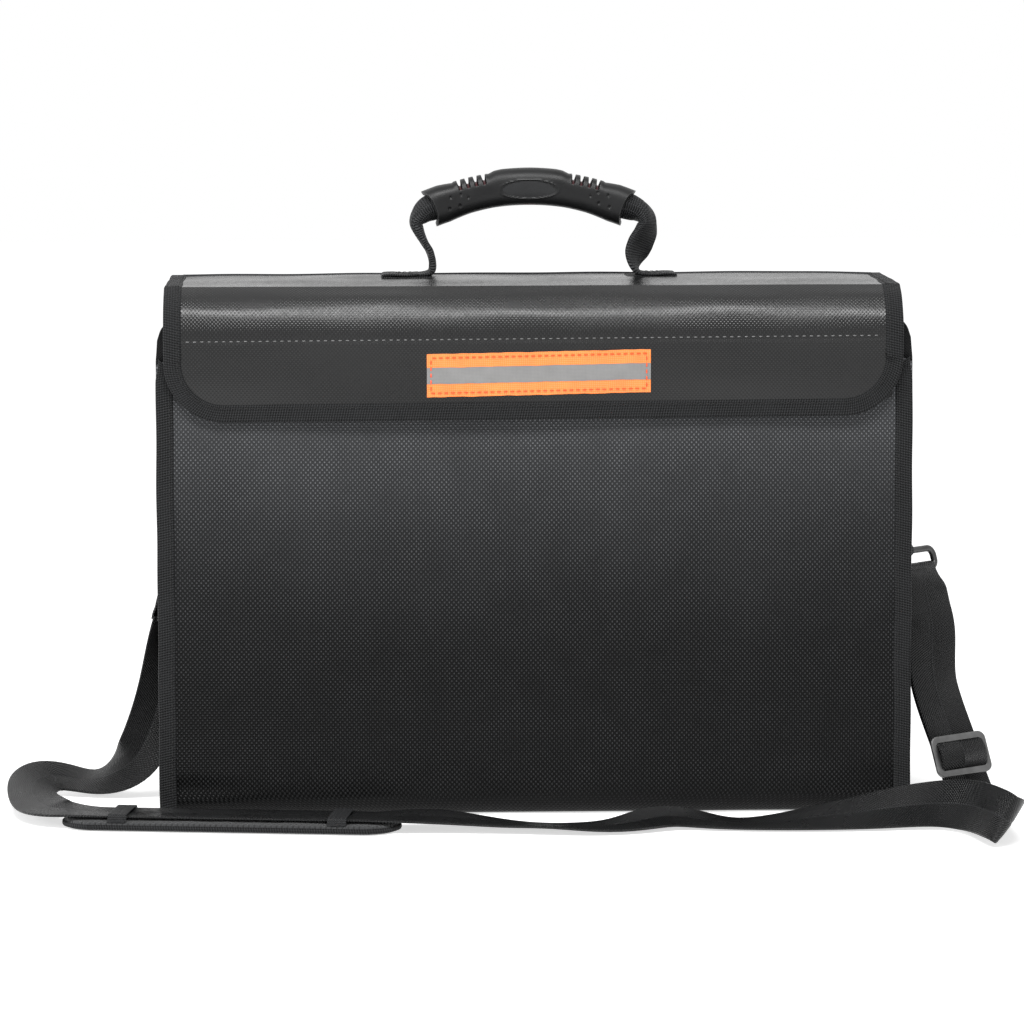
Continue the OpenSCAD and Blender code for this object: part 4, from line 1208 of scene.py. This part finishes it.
def ring_set(word, spot, tab_end, tab_turn, side):
    hanger(word, tab_end, tab_turn, side)
    body = word + "_ring"
    loop = spot.at(wire_loop(17.5, 0.0, RING_LOW, 4.5))
    done(wire(word + "_wire", loop, spot.off, 2.0, 2.0), RING, "ring_metal", body, word + "_ring")
    drop = np.linspace(-38.6, -14.5, 16)
    if side < 0:
        behind = 0.85 + 0.9 * rise(-drop, 30, 35.5) + 1.6 * rise(drop, -22, -13)
        before = behind
        narrow = 27.5 - 4.4 * rise(drop, -30, -13)
    else:
        behind = 3.0 * rise(drop, -38, -12)
        before = 2.2 + 0.9 * rise(drop, -38, -12)
        narrow = 30 - 4.4 * rise(drop, -22, -13)
    turn = angles(-20, 200, 26)
    y = np.concatenate([behind, 3.15 * np.cos(turn), -before[::-1]])
    z = np.concatenate([drop, RING_LOW + 3.15 * np.sin(turn), drop[::-1]])
    wide = np.concatenate([narrow, np.full(len(turn), 25.6), narrow[::-1]])
    twist = RIGHT_TWIST * rise(-z, 12, 27) * (side > 0)
    off, edges = (turned(np.repeat([way], len(z), axis=0), spot.up, twist) for way in (spot.off, spot.along))
    line = spot.at(joined(0.0, 0.0, z)) + y[:, None] * off
    obj = ribbon(word + "_sewn_end", line, edges, wide, thick=1.58)
    done(obj, STRAP, "webbing", body, word + "_strap_end")
    if side > 0:
        return
    x, z = sewn_box(-12, 12, -18.5, -33.5, 14).T
    for away, name in ((-1, "_end_stitches"), (1, "_end_stitches_back")):
        row = spot.at(joined(x, 1.62 * away, z))
        sew(word + name, row, away * spot.off, STRAP_STITCH, DARK_THREAD, "webbing", body)


# The right tab holds its ring by the rear end of the bar
TAB_BACK = 7.5 * math.sqrt(0.5)
ring_set("left", ring_spot(-211, 65, 12), (211.0, 0.0), 115, -1)
ring_set("right", ring_spot(229, 45, -18), (229 - TAB_BACK, -TAB_BACK), 45, 1)


# Adjuster: frame, middle bar and the webbing that goes over it

SLIDER_TURN = 0.12
SLIDER_OFF = 4.5
slide_row, next_row = np.array(STRAP_ROUTE[SLIDER_ROW:SLIDER_ROW + 2], float)
slide_up = unit(next_row[:3] - slide_row[:3])
slide_across = unit(slide_row[3:] - slide_row[3:].dot(slide_up) * slide_up)
slide_off = np.cross(slide_up, slide_across)
bar_way, frame_up = tipped(slide_across, slide_up, SLIDER_TURN)
slider = Spot(slide_row[:3] + SLIDER_OFF * slide_off, bar_way, slide_off, frame_up)
frame_line = slider.at(wire_loop(16.4, 10.4, -10.4, 2.6))
frame_wire = wire("adjuster_frame", frame_line, slide_off, 2.1, 1.2, power=0.45)
done(frame_wire, SLIDER, "slider_metal", "slider", "strap_slider")
c, s = rounded(20, 0.7)
bar_rings = [slider.at(joined(x, 1.15 * s, 1.65 * c)) for x in np.linspace(-17, 17, 12)]
done(loft("adjuster_bar", bar_rings), SLIDER, "slider_metal", "slider")
turn = angles(-4, 184, 30)
arch = slider.at(joined(0.0, -0.6 + 4.4 * np.sin(turn), 7.7 * np.cos(turn)))
hump_web = ribbon("adjuster_hump", arch, slider.along, 30.6, STRAP_THICK)
done(hump_web, STRAP, "webbing", "slider", "slider_loop")


# Shoulder pad: stuffed knit, with its edge and the keepers

PAD_TURN = math.radians(-8)
PAD = Spot((-177.0, -97.0, 0.0), *tipped(RIGHT, BACK, PAD_TURN), UP)
PAD_R = 21.0
PAD_RUN = 98.5 - PAD_R
KEEPER_X = 64.0
# Rings of the pad from the middle of its underside to the middle of its top: inset and height
PAD_LEVELS = [
    (14, 0.15), (8, 0.05), (4, 0.05), (2.2, 0.35), (0.9, 1.0), (0.25, 1.9), (0.0, 2.6), (0.2, 3.5),
    (0.9, 4.4), (2.0, 5.1), (3.6, 5.6), (6.0, 5.95), (9.0, 6.1), (12.5, 6.15), (16.0, 6.2), (19.0, 6.2),
    (20.6, 6.2),
]


def pad_outline(inset):
    """Points round the pad, the same share of the way round at every inset."""
    r = PAD_R - inset
    straight = 2 * PAD_RUN
    bend = math.pi * PAD_R
    out = []
    for s in np.linspace(0, 2 * (straight + bend), 160, endpoint=False):
        side = 1 if s < straight + bend else -1
        s = s % (straight + bend)
        if s < straight:
            out.append((side * (s - PAD_RUN), -side * r))
        else:
            a = (s - straight) / bend * math.pi - math.pi / 2
            out.append((side * (PAD_RUN + r * math.cos(a)), side * r * math.sin(a)))
    return np.array(out).T


def pad_mesh():
    rings = []
    cut = []
    for inset, z in PAD_LEVELS:
        x, y = pad_outline(inset)
        dent = 0.35 * (hump(x, -KEEPER_X, 12) + hump(x, KEEPER_X, 12)) * (z > 5)
        puff = 0.25 * soft(x / 9, y / 7, 2.2) * (z > 1)
        rings.append(joined(x, y, np.maximum(z - dent + puff - 0.25 * (z > 5.9), 0.02)))
        cut.append(joined(x, y + z * np.sign(y)))
    return loft("stuffed_pad", PAD.at(rings), cut, crease=60)


pad = done(pad_mesh(), MESH, "pad_mesh", "pad", "shoulder_pad")

rim_path = PAD.at(joined(*pad_outline(0), 2.6))
rim_out = np.cross(tangents(rim_path, loop=True), UP)
rim_high = 1.45 * rounded(16)[1]
rings = swept(rim_path, 0.75 * rounded(16, 0.8)[0], rim_out, rim_high, UP)
rim = loft("pad_rim", rings, joined(rim_high, lengths(rim_path)[:, None]), loop=True)
done(rim, TAPE, "binding", "pad", "pad_binding")

# Half of a keeper's section: across the pad and up
KEEPER = [(-19.6, 5.6), (-18.4, 6.0), (-17.5, 7.0), (-17.0, 8.3), (-15.8, 9.15), (-12, 9.3)]
keeper_rows = catmull(KEEPER + [(0, 9.35)] + [(-y, z) for y, z in reversed(KEEPER)], 4)
for side, word in SIDES:
    line = PAD.at(joined(side * KEEPER_X, keeper_rows[:, 0], keeper_rows[:, 1]))
    obj = ribbon(word + "_keeper", line, PAD.along, width=11.0, thick=0.85)
    done(obj, WEB, "webbing", "pad", word + "_pad_keeper")


# Stage: pale floor, soft light, camera


def stage():
    far = 6000
    corners = [(-far, -far, 0), (far, -far, 0), (far, far, 0), (-far, far, 0)]
    floor = add_mesh("floor", corners, [(0, 1, 2, 3)])
    look = Look("Pale floor")
    look.finish(look.noise(3, 2, 0.5).mix(grey(0.90), grey(0.92)), 0.9, specular=0.0)
    fill(look.shader, {"Emission Color": (1, 1, 1, 1), "Emission Strength": 0.62})
    floor.data.materials.append(look.material)


def studio(light, seen_white):
    """World that lights softly, and shows white to the camera and in reflections."""
    world = bpy.data.worlds.new("Studio")
    bpy.context.scene.world = world
    world.use_nodes = True
    tree = world.node_tree
    tree.nodes.clear()
    camera_ray = add_node(tree, "ShaderNodeLightPath", {}, "Is Camera Ray")
    glossy_ray = add_node(tree, "ShaderNodeLightPath", {}, "Is Glossy Ray")
    tones = [add_node(tree, "ShaderNodeBackground", {"Color": (1, 1, 1, 1), "Strength": strength})
             for strength in (light, seen_white)]
    mixed = camera_ray.maths("MAXIMUM", glossy_ray).into("ShaderNodeMixShader", *tones)
    fill(tree.nodes.new("ShaderNodeOutputWorld"), {0: mixed})


def area_light(name, place, target, size, power):
    data = bpy.data.lights.new(name, "AREA")
    data.shape = "RECTANGLE"
    data.size, data.size_y = size
    data.energy = power
    obj = add_object(name, data)
    obj.location = place
    obj.rotation_euler = (Vector(target) - Vector(place)).to_track_quat("-Z", "Y").to_euler()


def camera(place, pitch, yaw, roll, focal_pixels, picture_pixels):
    data = bpy.data.cameras.new("Camera")
    data.sensor_width = 36
    data.lens = focal_pixels / picture_pixels * data.sensor_width
    data.clip_end = 100
    obj = add_object("Camera", data)
    turn = Matrix.Rotation(-yaw, 4, "Z") @ Matrix.Rotation(math.pi / 2 - pitch, 4, "X")
    obj.matrix_world = Matrix.Translation(place) @ turn @ Matrix.Rotation(roll, 4, "Z")
    bpy.context.scene.camera = obj


stage()
studio(light=0.5, seen_white=1.0)
area_light("Top", (-0.1, -0.72, 1.35), (0, -0.05, 0.22), (1.3, 0.35), 22)
area_light("Fill", (-1.6, -0.55, 0.42), (-0.1, 0, 0.12), (0.5, 0.7), 9)
camera((-0.10043, -2.818, 0.49047), 0.1125, 0.0317, -0.0024, 4758.4, 1024)
bpy.context.scene.view_settings.view_transform = "Standard"
